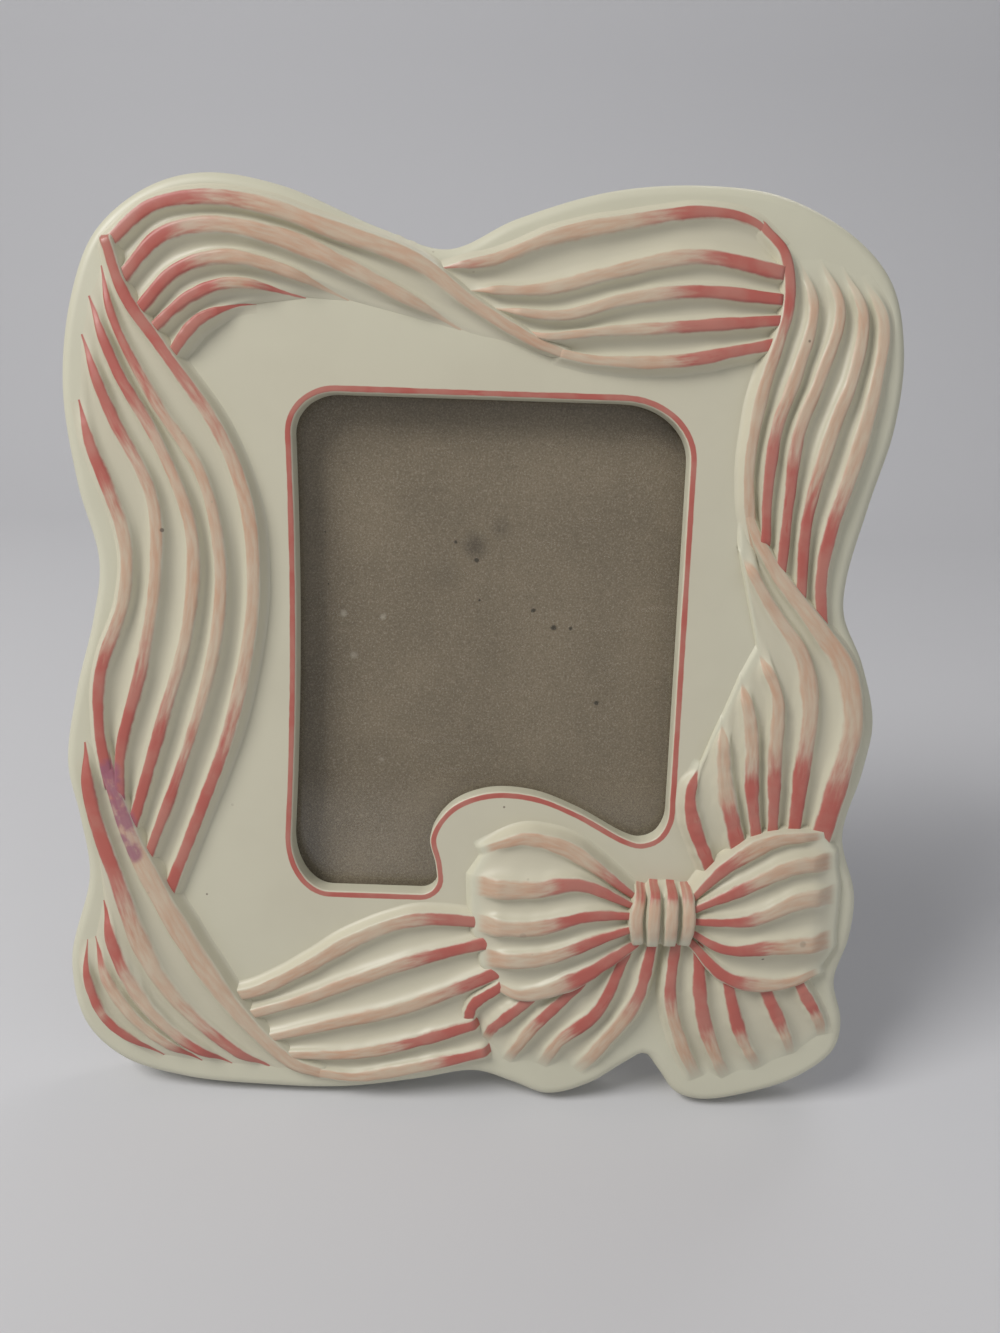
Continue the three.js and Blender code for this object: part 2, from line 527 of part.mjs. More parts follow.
// The front: a scalloped plate with a rounded edge, the relief on it, the window and rebate cut through it,
// pilot holes for the screws, and flats under the lobes that it stands on
function castingGeometry() {
  const outline = new THREE.CatmullRomCurve3(OUTLINE.map(onSheet), true);
  const shape = new THREE.Shape(outline.getSpacedPoints(OUTLINE_STEPS).slice(1));
  const depth = -castingRear;
  const rounding = { bevelThickness: EDGE_ROUND, bevelSize: EDGE_ROUND, bevelOffset: -EDGE_ROUND };
  const blank = new THREE.ExtrudeGeometry(shape, { depth, ...rounding, bevelSegments: EDGE_STEPS });
  blank.translate(0, 0, castingRear - EDGE_ROUND);
  const rearCut = new THREE.BoxGeometry(FRAME_WIDTH * 2, FRAME_HEIGHT * 3, depth);
  rearCut.translate(0, 0, castingRear - depth / 2);
  const opening = plate(windowShape(), castingRear, LIP_DEPTH);
  const rebateSize = [paneWidth + 2 * REBATE_PLAY, paneHeight + 2 * REBATE_PLAY, REBATE_CORNER];
  const rebate = plate(roundedRectangle(...rebateSize), castingRear - CUT_OVERRUN, -LIP_DEPTH);
  rebate.translate(paneCentre.x, paneCentre.y, 0);
  const pilot = bar(SCREW_SHANK + SCREW_PLAY, castingRear - CUT_OVERRUN, screwTip() + SCREW_PLAY);
  const ground = new THREE.BoxGeometry(FRAME_WIDTH * 2, FRAME_HEIGHT, FRAME_HEIGHT);
  ground.translate(0, -FRAME_HEIGHT / 2, 0).rotateX(LEAN);
  ground.translate(0, floorLevel * Math.cos(LEAN), floorLevel * Math.sin(LEAN));
  let body = joined([solid(blank), ...BANDS.map(bandSolid)]);
  body = body.subtract(joined([rearCut, opening, rebate, ground].map(solid)));
  for (const { x, y } of buttonPivots()) {
    body = body.subtract(solid(pilot.clone().translate(x, y, 0)));
  }
  return toGeometry(body);
}

function buttonPivots() {
  const x = paneWidth / 2 + BUTTON_SETBACK;
  const y = BUTTON_SPACING / 2;
  const corner = (name, inward, side, level) => {
    return { name, inward, x: paneCentre.x + side * x, y: paneCentre.y + level * y };
  };
  return [
    corner("upper_left", 0, -1, 1),
    corner("upper_right", Math.PI, 1, 1),
    corner("lower_left", 0, -1, -1),
    corner("lower_right", Math.PI, 1, -1),
  ];
}

function screwSeat() {
  return castingRear - FIT_GAP - BUTTON_THICKNESS - FIT_GAP;
}

function screwTip() {
  return screwSeat() + SCREW_LENGTH;
}

// A pressed plate with a wide hub round its screw and a narrower tip that lies over the board
function buttonGeometry() {
  const lean = Math.acos((BUTTON_HUB - BUTTON_TIP) / BUTTON_REACH);
  const shape = new THREE.Shape();
  shape.absarc(0, 0, BUTTON_HUB - BUTTON_EDGE, lean, 2 * Math.PI - lean);
  shape.absarc(BUTTON_REACH, 0, BUTTON_TIP - BUTTON_EDGE, -lean, lean);
  const edge = { bevelThickness: BUTTON_EDGE, bevelSize: BUTTON_EDGE, bevelSegments: 1 };
  const depth = BUTTON_THICKNESS - 2 * BUTTON_EDGE;
  const blank = new THREE.ExtrudeGeometry(shape, { depth, ...edge, curveSegments: ROUND_STEPS / 2 });
  blank.translate(0, 0, BUTTON_EDGE - BUTTON_THICKNESS);
  const hole = bar(SCREW_SHANK + SCREW_PLAY, -2 * BUTTON_THICKNESS, BUTTON_THICKNESS);
  return toGeometry(solid(blank).subtract(solid(hole)));
}

// The profile of a domed head behind height zero, from shares of its radius and height
function dome(shares, radius, height) {
  return shares.map(([out, down]) => [out * radius, -down * height]);
}

// A dome-headed screw, its seat at height zero, its head behind the seat and its point in front
function screwGeometry() {
  return turned([
    ...dome(SCREW_DOME, SCREW_HEAD, SCREW_HEAD_HEIGHT),
    [SCREW_SHANK, 0],
    [SCREW_SHANK, SCREW_LENGTH - SCREW_POINT],
    [0, SCREW_LENGTH],
  ]);
}

// A rivet with its domed head behind height zero and its spread tail at the far end of its grip
function rivetGeometry(grip) {
  return turned([
    ...dome(RIVET_DOME, RIVET_HEAD, RIVET_HEAD_HEIGHT),
    [RIVET_SHANK, 0],
    [RIVET_SHANK, grip - RIVET_TAIL_HEIGHT],
    [RIVET_TAIL, grip - RIVET_TAIL_HEIGHT],
    [RIVET_TAIL, grip],
    [0, grip],
  ]);
}

// The hole that a rivet leaves in the board it grips, with the recess round its tail
function rivetHole(lower, upper) {
  const recessFloor = upper - RIVET_TAIL_HEIGHT - FIT_GAP - RIVET_PLAY;
  const recess = bar(RIVET_TAIL + RIVET_PLAY, recessFloor, upper + CUT_OVERRUN);
  return rivetBore(lower, upper).add(solid(recess));
}

function rivetBore(lower, upper) {
  return solid(bar(RIVET_SHANK + RIVET_PLAY, lower - CUT_OVERRUN, upper + CUT_OVERRUN));
}

function rivetPlaces(height) {
  return [
    { name: "left", x: -RIVET_SPACING / 2, y: height },
    { name: "right", x: RIVET_SPACING / 2, y: height },
  ];
}

function paneGeometry(rear, front) {
  const shape = roundedRectangle(paneWidth, paneHeight, REBATE_CORNER - REBATE_PLAY);
  return plate(shape, rear, front).translate(paneCentre.x, paneCentre.y, 0);
}

// The hinge is drawn about its own axis, at the origin, with the strut folded flat and hanging down.
const plateFront = leafFront - hinge.z;
const plateRear = leafRear - hinge.z;
const strutLeafRear = -KNUCKLE_RADIUS;
const strutLeafFront = strutLeafRear + LEAF_THICKNESS;
const strutRear = strutLeafFront + FIT_GAP;
const strutFront = strutRear + STRUT_THICKNESS;
const plateMiddle = KNUCKLE_RADIUS + LEAF_HEIGHT / 2;
const wingLength = (LEAF_WIDTH - knuckleLength) / 2 - FIT_GAP;
const wingMiddle = (LEAF_WIDTH - wingLength) / 2;

function knuckle(length, middle) {
  const tube = bar(KNUCKLE_RADIUS, -length / 2, length / 2).rotateY(Math.PI / 2);
  return solid(tube.translate(middle, 0, 0));
}

function pinHole() {
  return solid(bar(pinBore, -LEAF_WIDTH, LEAF_WIDTH).rotateY(Math.PI / 2));
}

// A strip of leaf between two heights, from the knuckle's middle out to the leaf proper
function strip(width, middle, rear, front, low, high) {
  const block = new THREE.BoxGeometry(width, high - low, front - rear);
  return solid(block.translate(middle, (low + high) / 2, (rear + front) / 2));
}

// The leaf that is riveted to the board, with a knuckle at each end
function hingePlateGeometry() {
  const leaf = plate(roundedRectangle(LEAF_WIDTH, LEAF_HEIGHT, LEAF_CORNER), plateRear, plateFront);
  let body = solid(leaf.translate(0, plateMiddle + FIT_GAP, 0));
  for (const side of [-1, 1]) {
    body = body.add(strip(wingLength, side * wingMiddle, plateRear, plateFront, 0, plateMiddle));
    body = body.add(knuckle(wingLength, side * wingMiddle));
  }
  body = body.subtract(pinHole());
  for (const { x, y } of rivetPlaces(plateMiddle + LEAF_CORNER)) {
    body = body.subtract(rivetBore(plateRear, plateFront).translate([x, y, 0]));
  }
  return toGeometry(body);
}

// The leaf that is riveted to the strut, with the middle knuckle and a tab that stops the strut when open
function hingeLeafGeometry() {
  const leaf = plate(roundedRectangle(LEAF_WIDTH, LEAF_HEIGHT, LEAF_CORNER), strutLeafRear, strutLeafFront);
  let body = solid(leaf.translate(0, -plateMiddle - FIT_GAP, 0));
  body = body.add(strip(knuckleLength, 0, strutLeafRear, strutLeafFront, -plateMiddle, 0));
  body = body.add(knuckle(knuckleLength, 0));
  const tabFront = plateRear - FIT_GAP;
  const tabWidth = knuckleLength - 2 * FIT_GAP;
  const tab = new THREE.BoxGeometry(tabWidth, STOP_HEIGHT + KNUCKLE_RADIUS, LEAF_THICKNESS);
  tab.translate(0, (STOP_HEIGHT + KNUCKLE_RADIUS) / 2, tabFront - LEAF_THICKNESS / 2).rotateX(-STRUT_OPEN);
  body = body.add(solid(tab)).subtract(pinHole());
  for (const { x, y } of rivetPlaces(-plateMiddle - LEAF_CORNER)) {
    body = body.subtract(rivetBore(strutLeafRear, strutLeafFront).translate([x, y, 0]));
  }
  return toGeometry(body);
}

function hingePinGeometry() {
  const half = LEAF_WIDTH / 2 + FIT_GAP;
  const end = half + PIN_HEAD_HEIGHT;
  return turned([
    [0, -end],
    [PIN_HEAD_TIP, -end],
    [PIN_HEAD, -half],
    [PIN_RADIUS, -half],
    [PIN_RADIUS, half],
    [PIN_HEAD, half],
    [PIN_HEAD_TIP, end],
    [0, end],
  ]).rotateY(Math.PI / 2);
}

// The strut widens to its foot, which is cut to stand flat on the table when the strut is open.
function strutGeometry() {
  const top = -KNUCKLE_RADIUS - 2 * FIT_GAP;
  const standing = hinge.y * Math.cos(LEAN) + hinge.z * Math.sin(LEAN) - floorLevel;
  const footTilt = STRUT_OPEN - LEAN;
  const length = standing / Math.cos(footTilt);
  const foot = -length - STRUT_FOOT_SPARE;
  const shape = new THREE.Shape();
  shape.moveTo(-STRUT_FOOT_WIDTH / 2, foot);
  shape.lineTo(STRUT_FOOT_WIDTH / 2, foot);
  shape.lineTo(STRUT_TOP_WIDTH / 2, top - STRUT_SHOULDER);
  shape.quadraticCurveTo(STRUT_TOP_WIDTH / 2, top, STRUT_TOP_WIDTH / 2 - STRUT_SHOULDER, top);
  shape.lineTo(STRUT_SHOULDER - STRUT_TOP_WIDTH / 2, top);
  shape.quadraticCurveTo(-STRUT_TOP_WIDTH / 2, top, -STRUT_TOP_WIDTH / 2, top - STRUT_SHOULDER);
  let body = solid(plate(shape, strutRear, strutFront));
  const ground = new THREE.BoxGeometry(STRUT_FOOT_WIDTH * 2, length, length);
  ground.translate(0, -length / 2 - standing, 0).rotateX(-footTilt);
  body = body.subtract(solid(ground));
  for (const { x, y } of rivetPlaces(-plateMiddle - LEAF_CORNER)) {
    body = body.subtract(rivetHole(strutRear, strutFront).translate([x, y, 0]));
  }
  return toGeometry(body);
}

function easelBackGeometry() {
  let body = solid(paneGeometry(backRear, backFront));
  for (const { x, y } of rivetPlaces(plateMiddle + LEAF_CORNER)) {
    const hole = rivetHole(backRear, backFront).translate([hinge.x + x, hinge.y + y, 0]);
    body = body.subtract(hole);
  }
  return toGeometry(body);
}

function node(name, geometry, finish) {
  const mesh = new THREE.Mesh(geometry, new THREE.MeshStandardMaterial(finish));
  mesh.name = name;
  return mesh;
}

// What rides on the casting
const fixed = new THREE.Group();
fixed.add(node("frame_casting", castingGeometry(), FINISH.cream));
const glassPane = paneGeometry(glassFront - GLASS_THICKNESS, glassFront);
fixed.add(node("window_glass", glassPane, FINISH.glass));
const insertPane = paneGeometry(insertFront - INSERT_THICKNESS, insertFront);
fixed.add(node("backing_insert", insertPane, FINISH.chipboard));
fixed.add(node("easel_back", easelBackGeometry(), FINISH.flock));

for (const { name, inward, x, y } of buttonPivots()) {
  const button = node(`turn_button_${name}`, buttonGeometry(), FINISH.brass);
  button.position.set(x, y, castingRear - FIT_GAP);
  button.rotation.z = inward;
  const screw = node(`turn_screw_${name}`, screwGeometry(), FINISH.steel);
  screw.position.set(x, y, screwSeat());
  fixed.add(button, screw);
}

const hingeSide = new THREE.Group();
hingeSide.position.copy(hinge);
hingeSide.add(node("hinge_plate", hingePlateGeometry(), FINISH.steel));
hingeSide.add(node("hinge_pin", hingePinGeometry(), FINISH.steel));
for (const { name, x, y } of rivetPlaces(plateMiddle + LEAF_CORNER)) {
  const grip = backFront - leafRear - FIT_GAP;
  const rivet = node(`plate_rivet_${name}`, rivetGeometry(grip), FINISH.steel);
  rivet.position.set(x, y, plateRear - FIT_GAP / 2);
  hingeSide.add(rivet);
}
fixed.add(hingeSide);

// What turns with the strut
const strutSide = new THREE.Group();
strutSide.position.copy(hinge);
strutSide.rotation.x = STRUT_OPEN;
strutSide.add(node("strut", strutGeometry(), FINISH.flock));
strutSide.add(node("hinge_leaf", hingeLeafGeometry(), FINISH.steel));
for (const { name, x, y } of rivetPlaces(-plateMiddle - LEAF_CORNER)) {
  const grip = strutFront - strutLeafRear - FIT_GAP;
  const rivet = node(`strut_rivet_${name}`, rivetGeometry(grip), FINISH.steel);
  rivet.position.set(x, y, strutLeafRear - FIT_GAP / 2);
  strutSide.add(rivet);
}

// The frame leans back on its own lower rear edge and stands on the floor, centred over the origin.
const frame = new THREE.Group();
const leaning = new THREE.Group();
leaning.add(fixed, strutSide);
leaning.rotation.x = Math.PI / 2 - LEAN;
leaning.position.z = -floorLevel;
frame.add(leaning);
const size = new THREE.Box3().setFromObject(frame, true);
leaning.position.x -= (size.min.x + size.max.x) / 2;
leaning.position.y -= (size.min.y + size.max.y) / 2;

export default frame;
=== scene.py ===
"""Looks of a standing picture frame: a cast front with a painted ribbon and bow, and its easel back.

Sizes are in millimetres on the casting's own face: x to the right, y up the face and z out of it.
"""

from __future__ import annotations

import json
import logging
import math
from abc import ABC, abstractmethod
from dataclasses import dataclass, replace
from enum import Enum

import bmesh
import bpy
import numpy as np
from mathutils import Matrix, Vector
from mathutils.geometry import tessellate_polygon

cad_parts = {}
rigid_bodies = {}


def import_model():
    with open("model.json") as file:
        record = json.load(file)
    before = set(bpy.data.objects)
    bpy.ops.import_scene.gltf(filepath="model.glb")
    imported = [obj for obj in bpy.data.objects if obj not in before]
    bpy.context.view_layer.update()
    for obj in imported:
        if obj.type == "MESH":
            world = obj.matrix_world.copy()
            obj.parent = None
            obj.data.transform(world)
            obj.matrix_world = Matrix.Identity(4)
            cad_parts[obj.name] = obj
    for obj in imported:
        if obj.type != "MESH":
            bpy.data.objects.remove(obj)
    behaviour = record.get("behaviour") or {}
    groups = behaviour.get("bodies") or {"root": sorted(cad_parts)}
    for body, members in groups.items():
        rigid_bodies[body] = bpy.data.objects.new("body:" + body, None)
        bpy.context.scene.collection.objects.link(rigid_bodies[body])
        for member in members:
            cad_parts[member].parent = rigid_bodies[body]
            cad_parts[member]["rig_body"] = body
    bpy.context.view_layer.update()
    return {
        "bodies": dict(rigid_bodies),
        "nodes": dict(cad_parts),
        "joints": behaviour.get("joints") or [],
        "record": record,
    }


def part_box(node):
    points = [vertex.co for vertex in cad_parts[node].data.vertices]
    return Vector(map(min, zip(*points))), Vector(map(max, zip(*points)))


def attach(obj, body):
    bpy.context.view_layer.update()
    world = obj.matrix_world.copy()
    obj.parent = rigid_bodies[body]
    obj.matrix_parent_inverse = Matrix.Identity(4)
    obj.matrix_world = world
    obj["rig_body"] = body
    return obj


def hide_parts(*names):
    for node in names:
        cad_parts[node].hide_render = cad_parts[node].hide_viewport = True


LOG = logging.getLogger("picture_frame")

MM = 0.001
QUARTER = math.pi / 2
LEAN = math.radians(13)
STRUT_OPEN = math.radians(22)
UP_FACE = Vector((0, math.sin(LEAN), math.cos(LEAN)))
OUT_OF_FACE = Vector((0, -math.cos(LEAN), math.sin(LEAN)))
REAR = Vector((0, math.cos(LEAN), -math.sin(LEAN)))
STRUT_REAR = Vector((0, math.cos(STRUT_OPEN - LEAN), math.sin(STRUT_OPEN - LEAN)))

FRAME_WIDTH = 174.0
FRAME_HEIGHT = 196.0
GLASS_MIDDLE = -5.85
INSERT_DEPTH = 7.35
CURVE_STEPS = 48
CORNER_STEPS = 12
HEAD_SEGMENTS = 48
HEAD_RINGS = 24
SHANK_SIDES = 32
LEAST_LENGTH = 1e-9

Pair = tuple[float, float]
Triple = tuple[float, float, float]
Colour = tuple[float, float, float]
Line = tuple[Pair, ...]
Socket = bpy.types.NodeSocket
Value = Socket | float
Paint = Socket | Colour
Columns = dict[str, np.ndarray]


class Body(Enum):
    """The CAD bodies that new pieces ride on."""

    FRAME = "frame"
    STRUT = "strut"


class Slot(Enum):
    """The record's material slots."""

    CASTING = "painted_casting"
    GLASS = "glass"
    CHIPBOARD = "chipboard"
    FLOCK = "flock"
    HINGE = "hinge_steel"
    SCREW = "screw_steel"
    BRASS = "brass"


Finishes = dict[Slot, bpy.types.Material]


@dataclass(frozen=True)
class Kit:
    """What the pieces are made from.

    Attributes:
        frame: The loaded frame.
        finishes: The materials by slot.
        fastener: The fastener node tree.
    """

    frame: dict
    finishes: Finishes
    fastener: bpy.types.GeometryNodeTree


@dataclass(frozen=True)
class Rib:
    """One rib of a band.

    Attributes:
        line: Points of its centre line on the drawing sheet.
        width: Its width at the start, the middle and the end.
        coral: Shares of its length, from the start and from the end, that are painted in full coral.
        lift: Height of its foot at the start, the middle and the end, where it differs from the band's.
        whole: Whether it keeps its full width and relief up to both ends.
    """

    line: Line
    width: Triple
    coral: Pair
    lift: Triple | None = None
    whole: bool = False


@dataclass(frozen=True)
class Band:
    """One run of the ribbon, lofted across its ribs.

    Attributes:
        lift: Height of its flutes at the start, the middle and the end.
        crown: How far its middle swells above its sides.
        ribs: Its ribs, side by side.
        bare: Shares of its length, from the start and from the end, where the paint fades out.
        fade: Lengths, at the start and at the end, over which its ribs rise out of it.
        point: Lengths, at the start and at the end, over which its ribs widen from a tip.
    """

    lift: Triple
    crown: float
    ribs: tuple[Rib, ...]
    bare: Pair = (0.0, 0.0)
    fade: Pair = (0.0, 0.0)
    point: Pair = (0.0, 0.0)


OUTLINE: Line = (
    (-62, 1.5), (-43.8, 0.1), (-26, 0.2), (-9.2, 2.7), (4, 5.2), (12.5, 2.8), (20.5, 0.2), (30, 3),
    (38.5, 8.8), (42.2, 10.8), (45.6, 7), (49.8, 1.6), (55.5, 0), (65, 1.6), (77, 6.2), (85, 13.2),
    (86.2, 20), (83.8, 30), (86.2, 40), (86.6, 50), (82.8, 63.5), (85.9, 78), (87.1, 89), (83.7, 101.5),
    (79, 111.6), (78.8, 119), (82.2, 135), (85.9, 150), (86.5, 165), (83, 178.2), (74.9, 186.9),
    (60, 194.2), (45, 195.9), (26, 194.3), (7, 188.5), (-6.5, 182.4), (-20, 185.9), (-40, 193.4),
    (-55.5, 195.3), (-67, 192), (-77.3, 183.5), (-82.5, 171), (-84.8, 153), (-82.3, 133.5),
    (-78.4, 118), (-80, 105.8), (-84.2, 89.6), (-86.5, 74), (-84.2, 62), (-82.6, 49), (-87.2, 29),
    (-84.5, 14.2), (-76.2, 5.8),
)

TOP_RIGHT = Band(lift=(0.5, 1.3, 0.9), crown=0.5, point=(7, 0), ribs=(
    Rib(((-8, 178), (2.6, 179.8), (14.8, 184.5), (28.6, 187.5), (44.7, 190), (53.4, 188.6), (58.6, 184.6)),
        (1.6, 3, 1.2), (0.06, 0.36), (0.5, 1.3, -0.1)),
    Rib(((-1.9, 174), (13.3, 174.5), (24.7, 177.5), (42.6, 181.4), (59.4, 179.1)), (1.6, 2.8, 2.6),
        (0, 0.26)),
    Rib(((2.6, 170.8), (16.4, 169.6), (29.2, 173), (42.9, 174.9), (59.4, 174)), (1.4, 2.6, 2.2), (0, 0.36)),
    Rib(((8, 167.5), (12.9, 165.7), (25.5, 166.9), (39.9, 168.1), (59.6, 170)), (1.2, 2.2, 2.2), (0, 0.42)),
    Rib(((17.1, 162.5), (23.9, 161.4), (39.9, 161.6), (52.9, 164.2), (59.1, 165.6)), (1.6, 2.4, 2.2),
        (0, 0.44), whole=True),
))
TOP_LEFT = Band(lift=(0.6, 1.5, -0.1), crown=0.5, fade=(0, 14), point=(0, 14), ribs=(
    Rib(((-72.9, 181.1), (-64.8, 187.6), (-54, 189.6), (-41.8, 188.2), (-29.6, 184.4), (-12.1, 178.7),
         (-1.4, 171.5), (11.1, 164.7), (17.1, 162.5)), (2.4, 3.4, 1.8), (0.24, 0), (0.6, 1.5, 0.5), True),
    Rib(((-70.6, 174.4), (-62.3, 182.3), (-52.3, 184.5), (-39.4, 182.5), (-27.3, 178), (-11.4, 170.6),
         (-2.3, 166)), (2.6, 3.7, 1.6), (0.22, 0)),
    Rib(((-67.6, 167.9), (-59.9, 175.6), (-50.7, 178.5), (-40.2, 176.9), (-25.2, 171.2)), (2.2, 2.8, 1.4),
        (0.34, 0)),
    Rib(((-64.9, 164.6), (-56.8, 171), (-48.5, 173.7), (-34, 171.6)), (2, 2.3, 1.4), (0.5, 0.3)),
    Rib(((-61.5, 159.6), (-55.5, 166.5), (-48.1, 169.7), (-44.1, 170.2)), (2.2, 2.4, 1.4), (1, 0)),
))
RIGHT_UPPER = Band(lift=(-0.1, 1.5, 0.6), crown=0.5, bare=(0.2, 0), fade=(12, 0), point=(10, 0), ribs=(
    Rib(((55.6, 187.6), (59.8, 183), (61.4, 176.6), (61.3, 171.6), (60.1, 166.5), (57.4, 155.9),
         (55.9, 143), (56.5, 134), (58.4, 126), (60.7, 119.1)), (1.8, 2.4, 1.8), (0.3, 0),
        (0.3, 1.5, -0.9), True),
    Rib(((63, 182.9), (66.4, 172.6), (63.8, 159.6), (60.8, 149.8), (59.8, 136.9), (60.3, 126.7)),
        (1.6, 2.6, 2), (0, 0.4)),
    Rib(((66.8, 183.3), (71.6, 172.6), (68.7, 159.6), (65.2, 148.8), (64.2, 135), (63.9, 120.6)),
        (1.6, 2.6, 2), (0, 0.38)),
    Rib(((71.2, 182.3), (76.3, 171.6), (75.2, 159.7), (72.1, 149.8), (68.2, 131), (68.5, 114.6)),
        (1.6, 2.8, 2), (0, 0.32)),
    Rib(((75.3, 180.4), (80.5, 170.7), (79.8, 157.7), (77, 143.4), (73.1, 128), (72.3, 119.1),
         (73.6, 108.4)), (1.6, 3, 2.2), (0, 0.36)),
))
LEFT = Band(lift=(-0.1, 1.5, 0.6), crown=0.5, fade=(12, 0), point=(12, 0), ribs=(
    Rib(((-73.7, 181), (-70.3, 171.1), (-63, 160.9), (-51.6, 144.8), (-46.2, 130.4), (-44.9, 115.2),
         (-46.3, 100.8), (-50.6, 82.4), (-57.9, 62.6), (-65.4, 43.2)), (2, 2.8, 2.4), (0.25, 0.3),
        (1.4, 1.5, 0.6), True),
    Rib(((-75.8, 178.5), (-72.9, 166.6), (-64.6, 150.6), (-55.4, 136.4), (-51.6, 118.2), (-53.4, 99.2),
         (-60.4, 75.7), (-69.2, 52.2)), (1.6, 2.6, 2), (0.2, 0.22)),
    Rib(((-78.7, 172.4), (-72.3, 156.7), (-63.7, 141.8), (-57.5, 125.1), (-58.3, 106.2), (-64.5, 84.1),
         (-71.8, 60.2)), (2, 2.6, 2.4), (0.24, 0.26)),
    Rib(((-80.3, 164.8), (-73.8, 148.3), (-65.6, 131.9), (-65, 116.2), (-68.6, 95.5), (-73.3, 78.7),
         (-74, 66.6)), (2, 2.6, 2.2), (0.26, 0.32)),
    Rib(((-81.1, 151.9), (-78.4, 142.2), (-71.4, 122.8), (-71.8, 110.6), (-77.2, 94.6), (-77.9, 83.2),
         (-76.3, 70.4)), (2.2, 2.6, 2.2), (0.26, 0.38)),
))
RIGHT_LOWER = Band(lift=(0.7, 1.7, 0.8), crown=0.5, bare=(0.05, 0), fade=(5, 0), point=(4, 0), ribs=(
    Rib(((56.4, 141), (56.3, 134), (57.6, 129.2), (63.1, 120.1), (72, 109.5), (78.7, 100.5), (81.2, 89.1),
         (79.3, 76.9), (76.5, 62.4)), (1, 3.8, 4.4), (0, 0.2), (-0.6, 2.2, 0.8), True),
    Rib(((55.8, 123.6), (62.2, 113.3), (69.7, 102.7), (72, 91.4), (71.4, 79.2), (70.8, 63.6)),
        (1.6, 3.6, 2.8), (0, 0.3), (1.1, 1.7, 0.8)),
    Rib(((60.9, 103.4), (65, 94.3), (65.3, 82.2), (66.4, 62.7)), (2, 3, 2.2), (0, 0.42)),
    Rib(((57.7, 97.3), (60, 86.8), (61, 73.9), (63.4, 60.8)), (2.2, 3.2, 2.2), (0, 0.48)),
    Rib(((54.1, 88.1), (55.3, 75.4), (60.2, 57.8)), (2.4, 3.6, 3.2), (0, 0.42)),
    Rib(((49.7, 78.1), (48.2, 73), (49, 67), (54.6, 53.8)), (1.6, 3, 2.6), (0.5, 0.6)),
))
BOTTOM = Band(lift=(0.5, 1.4, 0.9), crown=0.5, ribs=(
    Rib(((-52, 22.3), (-44.2, 24.7), (-34.2, 30.3), (-22, 38), (-9.8, 42.5), (6.5, 42.2)), (2.2, 3.2, 2.6),
        (0, 0.24)),
    Rib(((-47.5, 18.5), (-34.1, 23.2), (-22.7, 28.2), (-9, 33.6), (8, 38.4)), (2, 2.8, 2.6), (0, 0.32)),
    Rib(((-42.9, 13.2), (-28.1, 17.6), (-12.8, 21.9), (9.3, 31.4)), (1.8, 2.8, 2.8), (0, 0.22)),
    Rib(((-38.1, 9.5), (-22.7, 10.7), (-9, 14.2), (3, 18.1)), (1.6, 2.6, 2.4), (0, 0.4)),
    Rib(((-30.7, 5.1), (-22.8, 4.8), (-9, 7.8), (5.5, 11.5)), (1.8, 2.6, 2.2), (0, 0.28)),
))
LOWER_LEFT = Band(lift=(-0.1, 1.9, -0.1), crown=0.6, fade=(10, 9), point=(10, 9), ribs=(
    Rib(((-78.1, 81.3), (-76.2, 72.4), (-70.5, 56.2), (-61.4, 38.8), (-50.1, 21.3), (-41.2, 11.1),
         (-36.3, 7.1), (-30.7, 5.1)), (2.2, 4.8, 2.2), (0.14, 0), (0.3, 2.1, 0.5), True),
    Rib(((-82, 80.3), (-80, 66.2), (-74.4, 48.8), (-69, 33.1), (-62.5, 22.4), (-49.5, 10), (-41.6, 5.2)),
        (2.2, 4, 1.8), (0.42, 0.2)),
    Rib(((-79, 44.4), (-75.7, 32.9), (-70.2, 22.6), (-62.1, 13.6), (-50.4, 5.7)), (2, 3, 1.6),
        (0.34, 0.26)),
    Rib(((-81.1, 35.8), (-77.6, 26.1), (-70.3, 16.4), (-57.3, 6.2)), (1.8, 2.6, 1.6), (0.2, 0.2)),
    Rib(((-82.7, 35), (-82.5, 28.1), (-78.3, 17.4), (-65.9, 7.3)), (1.6, 2, 1.4), (0.5, 0.5)),
))
LEFT_TAIL = Band(lift=(1.8, 1.7, -0.25), crown=0.4, bare=(0, 0.2), fade=(0, 7), ribs=(
    Rib(((9, 27.9), (3.2, 23.1), (2.1, 18.5)), (2.2, 2.4, 2.2), (1, 0), (1.8, 1.6, 0.5), True),
    Rib(((15.9, 25.6), (7.8, 17.8), (5.9, 13.2)), (2.2, 2.6, 2), (0.8, 0)),
    Rib(((26.7, 29.5), (16.2, 18), (10.5, 8.2)), (2.2, 2.6, 2), (0.52, 0)),
    Rib(((36.1, 36.4), (30.5, 22.8), (22.3, 14.7), (18.5, 7.1)), (2.2, 3, 2.2), (0.66, 0)),
    Rib(((42, 39.7), (39, 25.6), (31.5, 13.7), (26.2, 6.2)), (2.2, 3.2, 2.4), (0.42, 0)),
))
RIGHT_TAIL = Band(lift=(1.8, 1.8, -0.25), crown=0.4, bare=(0, 0.25), fade=(0, 7), ribs=(
    Rib(((47, 40.7), (46.5, 26.5), (49.8, 15.4), (54.8, 5.2)), (2.2, 2.6, 2.8), (0.42, 0)),
    Rib(((51.8, 39.4), (53.7, 23.5), (58.1, 11.5), (61.4, 6)), (2.2, 3.2, 2.4), (0.62, 0)),
    Rib(((57.7, 34.5), (62.4, 18.9), (68.3, 8.3)), (2, 2.6, 2), (0.6, 0)),
    Rib(((65.6, 32.5), (72.9, 17.7), (75.2, 12)), (2, 2.8, 1.8), (0.6, 0)),
    Rib(((73.1, 33.3), (80.4, 20.7), (81.5, 16.9)), (2, 2.6, 1.8), (0.6, 0)),
))
